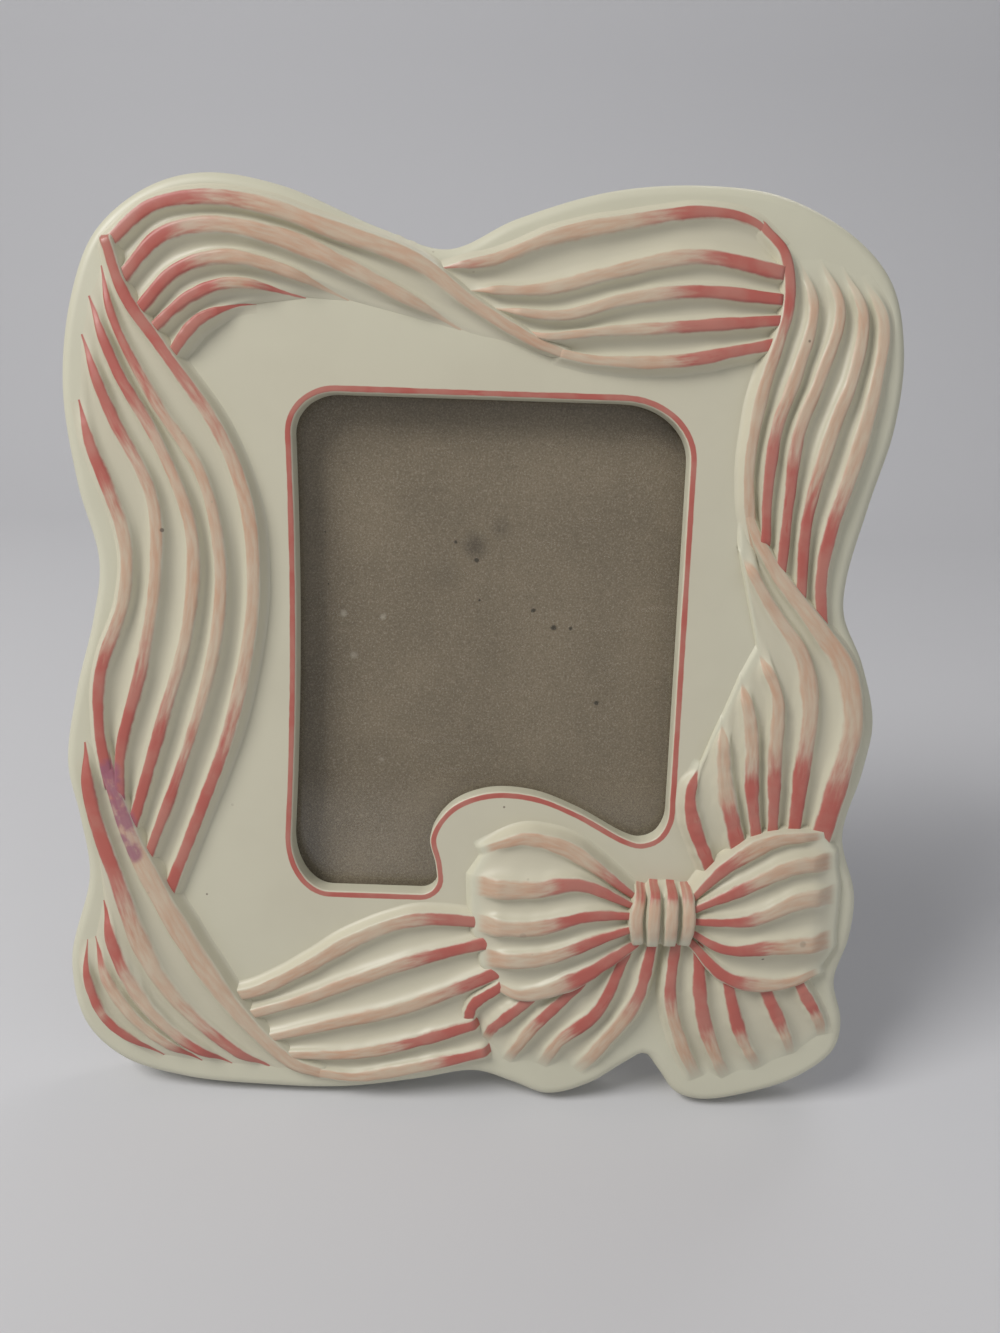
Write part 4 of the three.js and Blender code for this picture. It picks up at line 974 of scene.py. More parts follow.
@dataclass
class CastFront:
    """The cast front: a scalloped plate round the window, with the ribbon and the bow on it.

    Attributes:
        face: Where it stands.
        window: The window in it.
        depth: Its thickness.
        lip: Thickness of the lip in front of the glass.
        edge_round, rear_round, window_round: Radii of its front edge, its rear edge and the window's edge.
        edge_rings, rear_rings, window_rings: How many rings of points draw each of these edges.
        outline_steps: How many points draw its outline.
        line_middle: How far from the window's edge the coral line runs.
        line_half: Half the line's width.
        line_coral: How much coral the line has.
        line_rings: How far from the window the rings of points on the field round it lie.
        sharp_turn: From which turn on an edge of its flat faces is shaded crisp.
    """

    face: Face
    window: Window
    depth: float = 11.2
    lip: float = 4.6
    edge_round: float = 2.6
    rear_round: float = 0.4
    window_round: float = 0.5
    edge_rings: int = 9
    rear_rings: int = 5
    window_rings: int = 4
    outline_steps: int = 640
    line_middle: float = 0.8
    line_half: float = 0.58
    line_coral: float = 0.95
    line_rings: tuple[float, ...] = (0.85, 1.2, 1.5, 1.8, 2.6)
    sharp_turn: float = math.radians(10)

    def __post_init__(self) -> None:
        """Draws the outline."""
        self.outline = smooth_line(on_sheet(OUTLINE), self.outline_steps, closed=True)

    def add_plate(self, mesh: CastingMesh) -> None:
        """Adds the plate with its rounded edges, window, rebate and flat back.

        Args:
            mesh: The mesh to add to.
        """
        edge = []
        for rise, inset in rounded(self.rear_round, self.rear_rings):
            edge.append(mesh.add_ring(offset_loop(self.outline, -inset), rise - self.depth))
        for inset, drop in rounded(self.edge_round, self.edge_rings):
            edge.append(mesh.add_ring(offset_loop(self.outline, -inset), -drop))
        mesh.join_rings(edge)
        window = self.window.loop()
        run = np.linspace(0, distances(window)[-1], len(window))
        line = {"coral": self.line_coral, "cover": 1.0, "along": run}
        inner = [mesh.add_ring(window, -self.lip)]
        field = [(out, 0.0) for out in self.line_rings]
        for out, drop in rounded(self.window_round, self.window_rings) + field:
            stripe = abs(out - drop - self.line_middle) / self.line_half
            inner.append(mesh.add_ring(offset_loop(window, out), -drop, stripe=stripe, across=out, **line))
        mesh.join_rings(inner)
        mesh.fill(edge[-1], inner[-1])
        rebate = self.window.rebate_loop()
        walls = [mesh.add_ring(rebate, -self.depth), mesh.add_ring(rebate, -self.lip)]
        mesh.join_rings(walls)
        mesh.fill(edge[0], walls[0])
        mesh.fill(walls[1], inner[0])

    def follow_edge(self, patch: Patch) -> None:
        """Lowers a band where the plate under it rounds off towards its edge.

        Args:
            patch: The band's grid.
        """
        flat = patch.points[:, :, :2]
        inside = np.full(flat.shape[:2], np.inf)
        for x, y in self.outline:
            inside = np.minimum(inside, np.hypot(flat[:, :, 0] - x, flat[:, :, 1] - y))
        short = np.clip(self.edge_round - inside, 0, self.edge_round)
        patch.points[:, :, 2] -= self.edge_round - np.sqrt(self.edge_round**2 - short**2)

    def turn_outwards(self, mesh: bpy.types.Mesh, count: int) -> None:
        """Turns the plate's faces outwards and keeps the corners of its flat ones crisp.

        Args:
            mesh: The casting, whose first faces are the plate's.
            count: How many faces the plate has.
        """
        shape = bmesh.new()
        shape.from_mesh(mesh)
        shape.faces.ensure_lookup_table()
        plate = shape.faces[:count]
        bmesh.ops.recalc_face_normals(shape, faces=plate)
        flat = [face for face in plate if len(face.verts) == 3]
        edges = {edge for face in flat for edge in face.edges}
        inside = [edge for edge in edges if all(len(face.verts) == 3 for face in edge.link_faces)]
        bmesh.ops.beautify_fill(shape, faces=flat, edges=inside)
        for edge in {edge for face in shape.faces if len(face.verts) == 3 for edge in face.edges}:
            edge.smooth = edge.calc_face_angle(0.0) < self.sharp_turn
        shape.to_mesh(mesh)
        shape.free()

    def build(self, kit: Kit) -> bpy.types.Object:
        """Makes the casting as one piece.

        Args:
            kit: What it is made from.

        Returns:
            The piece, riding on the frame.
        """
        shape = CastingMesh()
        self.add_plate(shape)
        plate_faces = len(shape.faces)
        for seed, band in enumerate(BANDS):
            patch = BandLoft(band, seed).patch()
            self.follow_edge(patch)
            shape.add_patch(patch)
        mesh = shape.build("cast_front", self.face)
        self.turn_outwards(mesh, plate_faces)
        mesh.materials.append(kit.finishes[Slot.CASTING])
        piece = add_object("cast_front", mesh)
        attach(piece, Body.FRAME.value)
        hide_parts("frame_casting")
        return piece


@dataclass(frozen=True)
class Ramp:
    """An eased change of one value with another.

    Attributes:
        given: Where the change starts and ends.
        result: The values there.
    """

    given: Pair
    result: Pair = (0.0, 1.0)


class Graph:
    """A node tree that is written from its start to its end."""

    def __init__(self, tree: bpy.types.NodeTree) -> None:
        """Takes the tree to write."""
        self.tree = tree

    def add(
        self, kind: str, inputs: dict[str | int, object] | None = None, **settings: object
    ) -> bpy.types.Node:
        """Adds a node.

        Args:
            kind: Its type.
            inputs: What goes into its sockets, by name or number: another socket or a constant.
            **settings: Its own settings.

        Returns:
            The node.
        """
        node = self.tree.nodes.new(kind)
        for name, value in settings.items():
            setattr(node, name, value)
        for name, value in (inputs or {}).items():
            if isinstance(value, Socket):
                self.tree.links.new(value, node.inputs[name])
            else:
                node.inputs[name].default_value = value
        return node

    def calculate(self, operation: str, first: Value, second: Value) -> Socket:
        """Works out two values by the name of an operation."""
        return self.add("ShaderNodeMath", {0: first, 1: second}, operation=operation).outputs[0]

    def plus(self, first: Value, second: Value) -> Socket:
        """Adds two values up."""
        return self.calculate("ADD", first, second)

    def times(self, first: Value, second: Value) -> Socket:
        """Multiplies two values."""
        return self.calculate("MULTIPLY", first, second)

    def centred(self, noise: Socket) -> Socket:
        """Moves the middle of a noise from a half to 0."""
        return self.calculate("SUBTRACT", noise, 0.5)

    def eased(self, value: Socket, ramp: Ramp) -> Socket:
        """Changes a value along a ramp.

        Args:
            value: The value.
            ramp: The ramp.

        Returns:
            The new value.
        """
        ends = zip(("From Min", "From Max", "To Min", "To Max"), (*ramp.given, *ramp.result))
        inputs = {"Value": value, **dict(ends)}
        return self.add("ShaderNodeMapRange", inputs, interpolation_type="SMOOTHSTEP").outputs["Result"]

    def mix(self, share: Value, first: Paint, second: Paint) -> Socket:
        """Mixes two colours.

        Args:
            share: How much of the second.
            first: The first colour.
            second: The second colour.

        Returns:
            The mixed colour.
        """
        colours = [paint if isinstance(paint, Socket) else (*paint, 1.0) for paint in (first, second)]
        node = self.add("ShaderNodeMix", {0: share, 6: colours[0], 7: colours[1]}, data_type="RGBA")
        return node.outputs[2]

    def noise(self, vector: Socket, scale: Value, detail: float) -> Socket:
        """Reads a noise of the given scale and number of finer layers."""
        return self.add("ShaderNodeTexNoise", {"Vector": vector, "Scale": scale, "Detail": detail}).outputs[0]

    def attribute(self, name: str) -> Socket:
        """Reads a value that the mesh carries."""
        return self.add("ShaderNodeAttribute", attribute_name=name).outputs["Fac"]

    def vector(self, x: Value, y: Value, z: Value) -> Socket:
        """Joins three values into a vector."""
        return self.add("ShaderNodeCombineXYZ", {"X": x, "Y": y, "Z": z}).outputs[0]

    def stretched(self, vector: Socket, scale: Triple) -> Socket:
        """Stretches coordinates along each axis."""
        return self.add("ShaderNodeMapping", {"Vector": vector, "Scale": scale}).outputs[0]

    def group(self, tree: bpy.types.ShaderNodeTree, inputs: dict[str, Value]) -> bpy.types.NodeOutputs:
        """Adds a shared effect and gives its outputs."""
        return self.add("ShaderNodeGroup", inputs, node_tree=tree).outputs

    def bump(self, height: Socket, strength: float, distance: float) -> Socket:
        """Makes a normal from a height, with a strength and a distance in millimetres."""
        inputs = {"Height": height, "Strength": strength, "Distance": distance * MM}
        return self.add("ShaderNodeBump", inputs).outputs[0]

    def transform(self, shape: bpy.types.Node, **change: Socket) -> bpy.types.Node:
        """Moves or scales the shape that a geometry node makes."""
        return self.add("GeometryNodeTransform", {"Geometry": shape.outputs[0], **change})


def new_group(name: str, inputs: dict[str, float], outputs: tuple[str, ...]) -> Graph:
    """Starts a shared effect: a shader node group from coordinates and numbers to numbers.

    Args:
        name: Its name.
        inputs: Its numbers and their usual values.
        outputs: The names of its results.

    Returns:
        The group's tree.
    """
    tree = bpy.data.node_groups.new(name, "ShaderNodeTree")
    tree.interface.new_socket("Vector", in_out="INPUT", socket_type="NodeSocketVector")
    for label, value in inputs.items():
        socket = tree.interface.new_socket(label, in_out="INPUT", socket_type="NodeSocketFloat")
        socket.default_value = value
    for label in outputs:
        tree.interface.new_socket(label, in_out="OUTPUT", socket_type="NodeSocketFloat")
    return Graph(tree)


def grain_group() -> bpy.types.ShaderNodeTree:
    """Makes the shared effect of fine grain with scattered specks.

    Returns:
        A group with a grain and a speck value between 0 and 1.
    """
    graph = new_group("Grain", {"Scale": 500.0, "Specks": 300.0, "Speck Size": 0.12}, ("Grain", "Speck"))
    given = graph.add("NodeGroupInput").outputs
    grain = graph.noise(given["Vector"], given["Scale"], detail=6.0)
    cells = graph.add("ShaderNodeTexVoronoi", {"Vector": given["Vector"], "Scale": given["Specks"]}).outputs
    inside = graph.calculate("LESS_THAN", cells["Distance"], given["Speck Size"])
    chance = graph.add("ShaderNodeSeparateColor", {"Color": cells["Color"]}).outputs[0]
    left_out = 0.55
    speck = graph.times(inside, graph.calculate("GREATER_THAN", chance, left_out))
    graph.add("NodeGroupOutput", {"Grain": grain, "Speck": speck})
    return graph.tree


def wear_group() -> bpy.types.ShaderNodeTree:
    """Makes the shared effect of handling marks: soft blotches crossed by fine scratches.

    Returns:
        A group with a wear value between 0 and 1.
    """
    graph = new_group("Wear", {"Blotch": 60.0, "Scratch": 900.0}, ("Wear",))
    given = graph.add("NodeGroupInput").outputs
    soft, fine = Ramp((0.35, 0.7), (0.15, 1.0)), Ramp((0.56, 0.7))
    drawn_out = graph.stretched(given["Vector"], scale=(0.06, 1.0, 0.35))
    blotch = graph.eased(graph.noise(given["Vector"], given["Blotch"], detail=3.0), soft)
    scratch = graph.eased(graph.noise(drawn_out, given["Scratch"], detail=2.0), fine)
    graph.add("NodeGroupOutput", {"Wear": graph.times(blotch, scratch)})
    return graph.tree


@dataclass(frozen=True)
class Mark:
    """A small round blemish.

    Attributes:
        place: Its middle across and up the face.
        radius: How far it reaches, in millimetres.
        soft: The share of its radius over which it fades out.
        strength: How much of its colour shows.
        ring: The share of its radius that stays clear in its middle.
        lift: How high above the face it lies, in millimetres.
    """

    place: Pair
    radius: float
    soft: float = 0.5
    strength: float = 0.8
    ring: float = 0.0
    lift: float = 0.0

    def draw(self, graph: Graph, place: Socket, face: Face) -> Socket:
        """Draws the mark.

        Args:
            graph: The tree to draw in.
            place: The coordinates to measure in.
            face: Where the face stands.

        Returns:
            How much of the mark shows.
        """
        ends = {0: place, 1: tuple(face.point(*self.place, self.lift))}
        away = graph.add("ShaderNodeVectorMath", ends, operation="DISTANCE").outputs["Value"]
        radius = self.radius * MM
        shown = graph.eased(away, Ramp((radius * (1 - self.soft), radius), (self.strength, 0.0)))
        if self.ring > 0:
            inner = radius * self.ring
            shown = graph.times(shown, graph.eased(away, Ramp((inner * (1 - self.soft), inner))))
        return shown


def draw_marks(marks: tuple[Mark, ...], graph: Graph, place: Socket, face: Face) -> Socket:
    """Draws several marks of one colour.

    Args:
        marks: The marks.
        graph: The tree to draw in.
        place: The coordinates to measure in.
        face: Where the face stands.

    Returns:
        How much of their colour shows.
    """
    shown = marks[0].draw(graph, place, face)
    for mark in marks[1:]:
        shown = graph.calculate("MAXIMUM", shown, mark.draw(graph, place, face))
    return shown


@dataclass(frozen=True)
class Finish(ABC):
    """What every finish has: its slot and the shared effects it may use.

    Attributes:
        slot: The record's slot, which names its material.
        grain: The grain group.
        wear: The wear group.
    """

    slot: Slot
    grain: bpy.types.ShaderNodeTree
    wear: bpy.types.ShaderNodeTree

    @abstractmethod
    def shader(self, graph: Graph, place: Socket) -> bpy.types.Node:
        """Writes the nodes up to the last shader; each finish has its own."""

    def build(self) -> bpy.types.Material:
        """Makes the material.

        Returns:
            The material.
        """
        material = bpy.data.materials.new(self.slot.value)
        material.use_nodes = True
        material.node_tree.nodes.clear()
        graph = Graph(material.node_tree)
        place = graph.add("ShaderNodeTexCoord").outputs["Object"]
        shader = self.shader(graph, place)
        graph.add("ShaderNodeOutputMaterial", {"Surface": shader.outputs[0]})
        return material


@dataclass(frozen=True)
class PaintedCasting(Finish):
    """Cream satin casting with brushed peach and coral stripes.

    Attributes:
        face: Where the casting stands, for the marks on it.
        cream, shade: The bare casting, and a darker cream for its mottling and for painted shade.
        painted_flute_shade: How much of that darker cream is painted into the flutes as shade.
        peach, coral: The pale paint and the full paint.
        band_peach_tint: How far the bare cream of the bands leans to peach, which shows most in the flutes.
        mottle, patches: Scale and detail of the casting's slow mottling and of the patches in the full paint.
        aged, rough: How the mottling shades the bare casting and roughens it.
        brush, brush_detail: How the brush marks are stretched along and across a stripe, and their detail.
        brush_reach: How far the brush marks shift the change from peach to coral.
        turning: How paint turns to full coral as the coral value grows.
        brushed, thinned: How the brush marks and the mottling thin the pale paint.
        patchy: How the patches thin the full paint.
        wobbles: Scale, detail and reach of the fine and the slow wandering of a stripe's edge.
        edge: How the paint thins out from a rib's middle, at 0, past its edge, at 1.
        grain_sizes: The settings of its grain.
        grit, grit_share: The colour of its finest specks, and how much of it shows.
        felt: How much of the grain and of the brush marks is felt.
        relief: Strength and distance, in millimetres, of what is felt.
        stain, stains: The colour of a worn violet mark on the left, and where it lies.
        rubs: Scale and detail of the wear in that mark.
        rubbed, off_rib: How that wear and the way down a rib's side thin it.
        dirt, specks: The colour of the dark specks and bubbles, and where they lie.
    """

    face: Face
    cream: Colour = (0.625, 0.605, 0.472)
    shade: Colour = (0.525, 0.5, 0.385)
    painted_flute_shade: float = 0.4
    peach: Colour = (0.55, 0.345, 0.232)
    coral: Colour = (0.45, 0.11, 0.087)
    band_peach_tint: float = 0.08
    mottle: Pair = (55.0, 3.0)
    patches: Pair = (120.0, 4.0)
    aged: Ramp = Ramp((0.3, 0.75), (0.0, 0.3))
    rough: Ramp = Ramp((0.3, 0.7), (0.38, 0.52))
    brush: Triple = (0.2, 1.2, 1.0)
    brush_detail: float = 5.0
    brush_reach: float = 0.6
    turning: Ramp = Ramp((0.05, 0.8))
    brushed: Ramp = Ramp((0.25, 0.7), (0.5, 1.0))
    thinned: Ramp = Ramp((0.3, 0.7), (0.7, 1.0))
    patchy: Ramp = Ramp((0.36, 0.62), (0.84, 0.98))
    wobbles: tuple[Triple, ...] = ((420.0, 3.0, 0.35), (90.0, 2.0, 0.5))
    edge: Ramp = Ramp((0.84, 1.16), (1.0, 0.0))
    grain_sizes: tuple[tuple[str, float], ...] = (("Scale", 900.0), ("Specks", 120.0), ("Speck Size", 0.035))
    grit: Colour = (0.35, 0.30, 0.22)
    grit_share: float = 0.35
    felt: Pair = (0.25, 0.6)
    relief: Pair = (0.25, 0.12)
    stain: Colour = (0.30, 0.11, 0.17)
    stains: tuple[Mark, ...] = (
        Mark((-76, 73.6), 3.4, lift=2.4), Mark((-75.2, 70.1), 3.8, lift=2.4),
        Mark((-74.3, 66.4), 3.8, lift=2.4), Mark((-73.3, 62.6), 3.8, lift=2.4),
        Mark((-72.3, 58.6), 3.6, lift=2.4), Mark((-71.1, 55.8), 2.8, lift=2.4),
    )
    rubs: Pair = (330.0, 4.0)
    rubbed: Ramp = Ramp((0.36, 0.56), (0.25, 1.0))
    off_rib: Ramp = Ramp((0.9, 1.3), (1.0, 0.2))
    dirt: Colour = (0.16, 0.12, 0.09)
    specks: tuple[Mark, ...] = (
        Mark((-63.4, 125), 0.55, 0.4, lift=2.5), Mark((-56, 46), 0.3), Mark((8.5, 68), 0.32),
        Mark((65.7, 36.9), 0.4, lift=4.0), Mark((65.7, 166.3), 0.4, lift=2.4),
        Mark((69, 163.2), 0.35, lift=2.2), Mark((73.6, 41.2), 1.2, 0.3, 0.32, 0.6, 4.4),
        Mark((13.5, 41.3), 1.1, 0.3, 0.22, 0.6, 5.2),
    )

    def streaks(self, graph: Graph) -> Socket:
        """Makes the streaks that a brush leaves along a stripe."""
        place = graph.vector(graph.attribute("along"), graph.attribute("across"), 0.0)
        return graph.noise(graph.stretched(place, self.brush), 1.0, self.brush_detail)

    def painted(self, graph: Graph, place: Socket) -> Socket:
        """Finds the stripes, whose edges wander as a hand leads them.

        Args:
            graph: The tree.
            place: The coordinates.

        Returns:
            1 inside a stripe and 0 outside.
        """
        stripe = graph.attribute("stripe")
        for scale, detail, reach in self.wobbles:
            wobble = graph.centred(graph.noise(place, scale, detail))
            stripe = graph.plus(stripe, graph.times(wobble, reach))
        return graph.eased(stripe, self.edge)

    def stained(self, graph: Graph, place: Socket) -> Socket:
        """Makes the worn violet mark on the lower left run.

        Args:
            graph: The tree.
            place: The coordinates.

        Returns:
            How much of the mark shows.
        """
        whole = draw_marks(self.stains, graph, place, self.face)
        rubbed = graph.eased(graph.noise(place, *self.rubs), self.rubbed)
        on_rib = graph.eased(graph.attribute("stripe"), self.off_rib)
        return graph.times(graph.times(whole, rubbed), on_rib)

    def shader(self, graph: Graph, place: Socket) -> bpy.types.Node:
        """Writes the casting, the paint on it and its blemishes.

        Args:
            graph: The tree.
            place: The coordinates.

        Returns:
            The shader.
        """
        streaks = self.streaks(graph)
        mottle = graph.noise(place, *self.mottle)
        cover = graph.attribute("cover")
        shift = graph.times(graph.centred(streaks), self.brush_reach)
        strength = graph.eased(graph.plus(graph.attribute("coral"), shift), self.turning)
        thin = graph.times(graph.eased(streaks, self.brushed), graph.eased(mottle, self.thinned))
        patchy = graph.eased(graph.noise(place, *self.patches), self.patchy)
        opacity = graph.calculate("MAXIMUM", thin, graph.times(strength, patchy))
        opacity = graph.times(graph.times(opacity, cover), self.painted(graph, place))
        base = graph.mix(graph.eased(mottle, self.aged), self.cream, self.shade)
        # Painted shade: the bottoms of the flutes are darkened towards the shade colour, for the shade that
        # falls there.
        base = graph.mix(graph.times(graph.attribute("hollow"), self.painted_flute_shade), base, self.shade)
        # Tints the bare cream of the bands towards peach wherever they carry paint; it shows between the
        # stripes.
        base = graph.mix(graph.times(cover, self.band_peach_tint), base, self.peach)
        colour = graph.mix(opacity, base, graph.mix(strength, self.peach, self.coral))
        colour = graph.mix(self.stained(graph, place), colour, self.stain)
        colour = graph.mix(draw_marks(self.specks, graph, place, self.face), colour, self.dirt)
        grain = graph.group(self.grain, {"Vector": place, **dict(self.grain_sizes)})
        colour = graph.mix(graph.times(grain["Speck"], self.grit_share), colour, self.grit)
        marks = graph.times(graph.times(streaks, opacity), self.felt[1])
        height = graph.plus(graph.times(grain["Grain"], self.felt[0]), marks)
        return graph.add("ShaderNodeBsdfPrincipled", {
            "Base Color": colour, "Roughness": graph.eased(mottle, self.rough),
            "Normal": graph.bump(height, *self.relief), "Specular IOR Level": 0.4, "Coat Weight": 0.1,
            "Coat Roughness": 0.32})


@dataclass(frozen=True)
class ClearGlass(Finish):
    """A plain pane that lets light through to the board behind it.

    Attributes:
        tint, cast: The colours of the glass and of the light that passes through it.
        bending: Its index of refraction.
        rough: How wear roughens it.
    """

    tint: Colour = (0.95, 0.97, 0.96)
    cast: Colour = (0.93, 0.95, 0.94)
    bending: float = 1.46
    rough: Ramp = Ramp((0.2, 1.0), (0.03, 0.22))

    def shader(self, graph: Graph, place: Socket) -> bpy.types.Node:
        """Writes the pane, which is clear to shadows and to diffuse light.

        Args:
            graph: The tree.
            place: The coordinates.

        Returns:
            The shader.
        """
        wear = graph.group(self.wear, {"Vector": place})["Wear"]
        glass = graph.add("ShaderNodeBsdfPrincipled", {
            "Base Color": (*self.tint, 1.0), "Roughness": graph.eased(wear, self.rough),
            "IOR": self.bending, "Transmission Weight": 1.0})
        clear = graph.add("ShaderNodeBsdfTransparent", {"Color": (*self.cast, 1.0)})
        path = graph.add("ShaderNodeLightPath").outputs
        passing = graph.calculate("MAXIMUM", path["Is Shadow Ray"], path["Is Diffuse Ray"])
        return graph.add("ShaderNodeMixShader", {0: passing, 1: glass.outputs[0], 2: clear.outputs[0]})


@dataclass(frozen=True)
class Board(Finish):
    """Fibre board: flecked chipboard, or board under a dark flocked cover with a bare core at its edges.

    Attributes:
        face: Where the casting stands, for the marks on the board behind it.
        colour, fleck, core: The colours of its face, its flecks and its bare edge.
        pile: How much sheen its cover has.
        scale: The scale of its fibres.
        speck_scale, speck_size: The scale of its specks, as a share of that, and their size.
        speck_share: How much of the flecks' colour shows in a speck.
        dark, deep: Brightness of its clouds and of the gaps between its fibres, as shares of its face's.
        clouds: Scale and detail of its clouds.
        clouded, flecked, gaps: How much of the clouds, the flecks and the gaps shows.
        depth: How far it lies behind the casting's face, in millimetres.
        ragged: How far the edges of its marks wander, in metres.
        relief: Strength and distance, in millimetres, of its fibres.
        dent, dents: The colour of its dark marks, and where they lie.
        scuff, scuffs: The same of its light marks.
    """

    face: Face
    colour: Colour
    fleck: Colour
    core: Colour
    pile: float = 0.0
    scale: float = 2600.0
    speck_scale: float = 0.5
    speck_size: float = 0.16
    speck_share: float = 0.55
    dark: float = 0.72
    deep: float = 0.4
    clouds: Pair = (45.0, 4.0)
    clouded: Ramp = Ramp((0.3, 0.7), (0.0, 0.7))
    flecked: Ramp = Ramp((0.45, 0.75), (0.0, 0.5))
    gaps: Ramp = Ramp((0.28, 0.45), (0.4, 0.0))
    depth: float = 0.0
    ragged: float = 0.0008
    relief: Pair = (0.5, 0.15)
    dent: Colour = (0.03, 0.024, 0.018)
    dents: tuple[Mark, ...] = ()
    scuff: Colour = (0.5, 0.44, 0.36)
    scuffs: tuple[Mark, ...] = ()

    def marked(self, graph: Graph, place: Socket, colour: Socket) -> Socket:
        """Adds the ragged dents and scuffs.

        Args:
            graph: The tree.
            place: The coordinates.
            colour: The board without them.

        Returns:
            The board with them.
        """
        pushes = graph.add("ShaderNodeTexNoise", {"Vector": place, "Scale": 900.0, "Detail": 3.0})
        pushed = graph.stretched(pushes.outputs["Color"], (self.ragged, self.ragged, self.ragged))
        torn = graph.add("ShaderNodeVectorMath", {0: place, 1: pushed}, operation="ADD").outputs[0]
        for marks, tint in ((self.dents, self.dent), (self.scuffs, self.scuff)):
            if marks:
                sunk = tuple(replace(mark, lift=-self.depth) for mark in marks)
                colour = graph.mix(draw_marks(sunk, graph, torn, self.face), colour, tint)
        return colour

    def shader(self, graph: Graph, place: Socket) -> bpy.types.Node:
        """Writes the fibres, the flecks, the marks and the bare edge.

        Args:
            graph: The tree.
            place: The coordinates.

        Returns:
            The shader.
        """
        sizes = {"Scale": self.scale, "Specks": self.scale * self.speck_scale, "Speck Size": self.speck_size}
        grain = graph.group(self.grain, {"Vector": place, **sizes})
        fibres, clouds = grain["Grain"], graph.noise(place, *self.clouds)
        dark, deep = (tuple(share * channel for channel in self.colour) for share in (self.dark, self.deep))
        colour = graph.mix(graph.eased(clouds, self.clouded), self.colour, dark)
        colour = graph.mix(graph.eased(fibres, self.flecked), colour, self.fleck)
        colour = graph.mix(graph.eased(fibres, self.gaps), colour, deep)
        colour = graph.mix(graph.times(grain["Speck"], self.speck_share), colour, self.fleck)
        colour = self.marked(graph, place, colour)
        colour = graph.mix(graph.attribute("core"), colour, self.core)
        return graph.add("ShaderNodeBsdfPrincipled", {
            "Base Color": colour, "Roughness": 0.9, "Normal": graph.bump(fibres, *self.relief),
            "Specular IOR Level": 0.25, "Sheen Weight": self.pile, "Sheen Roughness": 0.45})


@dataclass(frozen=True)
class Metal(Finish):
    """Plated or bare metal with drawn lines, dulled blotches and handling marks.

    Attributes:
        colour, dull: The colours of the clean metal and of its tarnish.
        rough: Its roughness where clean.
        tarnished, worn: How much rougher it is where tarnished and where worn.
        blotches, tarnish: Scale and detail of its blotches, and how much they are tarnished.
        wear_sizes: The settings of its wear.
        relief: Strength and distance, in millimetres, of its wear.
    """

    colour: Colour
    dull: Colour
    rough: float
    tarnished: float = 0.22
    worn: float = 0.15
    blotches: Pair = (260.0, 5.0)
    tarnish: Ramp = Ramp((0.42, 0.72), (0.0, 0.75))
    wear_sizes: tuple[tuple[str, float], ...] = (("Blotch", 350.0), ("Scratch", 3500.0))
    relief: Pair = (0.3, 0.03)

    def shader(self, graph: Graph, place: Socket) -> bpy.types.Node:
        """Writes the metal, its tarnish and its wear.

        Args:
            graph: The tree.
            place: The coordinates.

        Returns:
            The shader.
        """
        wear = graph.group(self.wear, {"Vector": place, **dict(self.wear_sizes)})["Wear"]
        tarnish = graph.eased(graph.noise(place, *self.blotches), self.tarnish)
        rough = graph.plus(self.rough, graph.times(tarnish, self.tarnished))
        return graph.add("ShaderNodeBsdfPrincipled", {
            "Base Color": graph.mix(tarnish, self.colour, self.dull), "Metallic": 1.0,
            "Roughness": graph.plus(rough, graph.times(wear, self.worn)),
            "Normal": graph.bump(wear, *self.relief)})


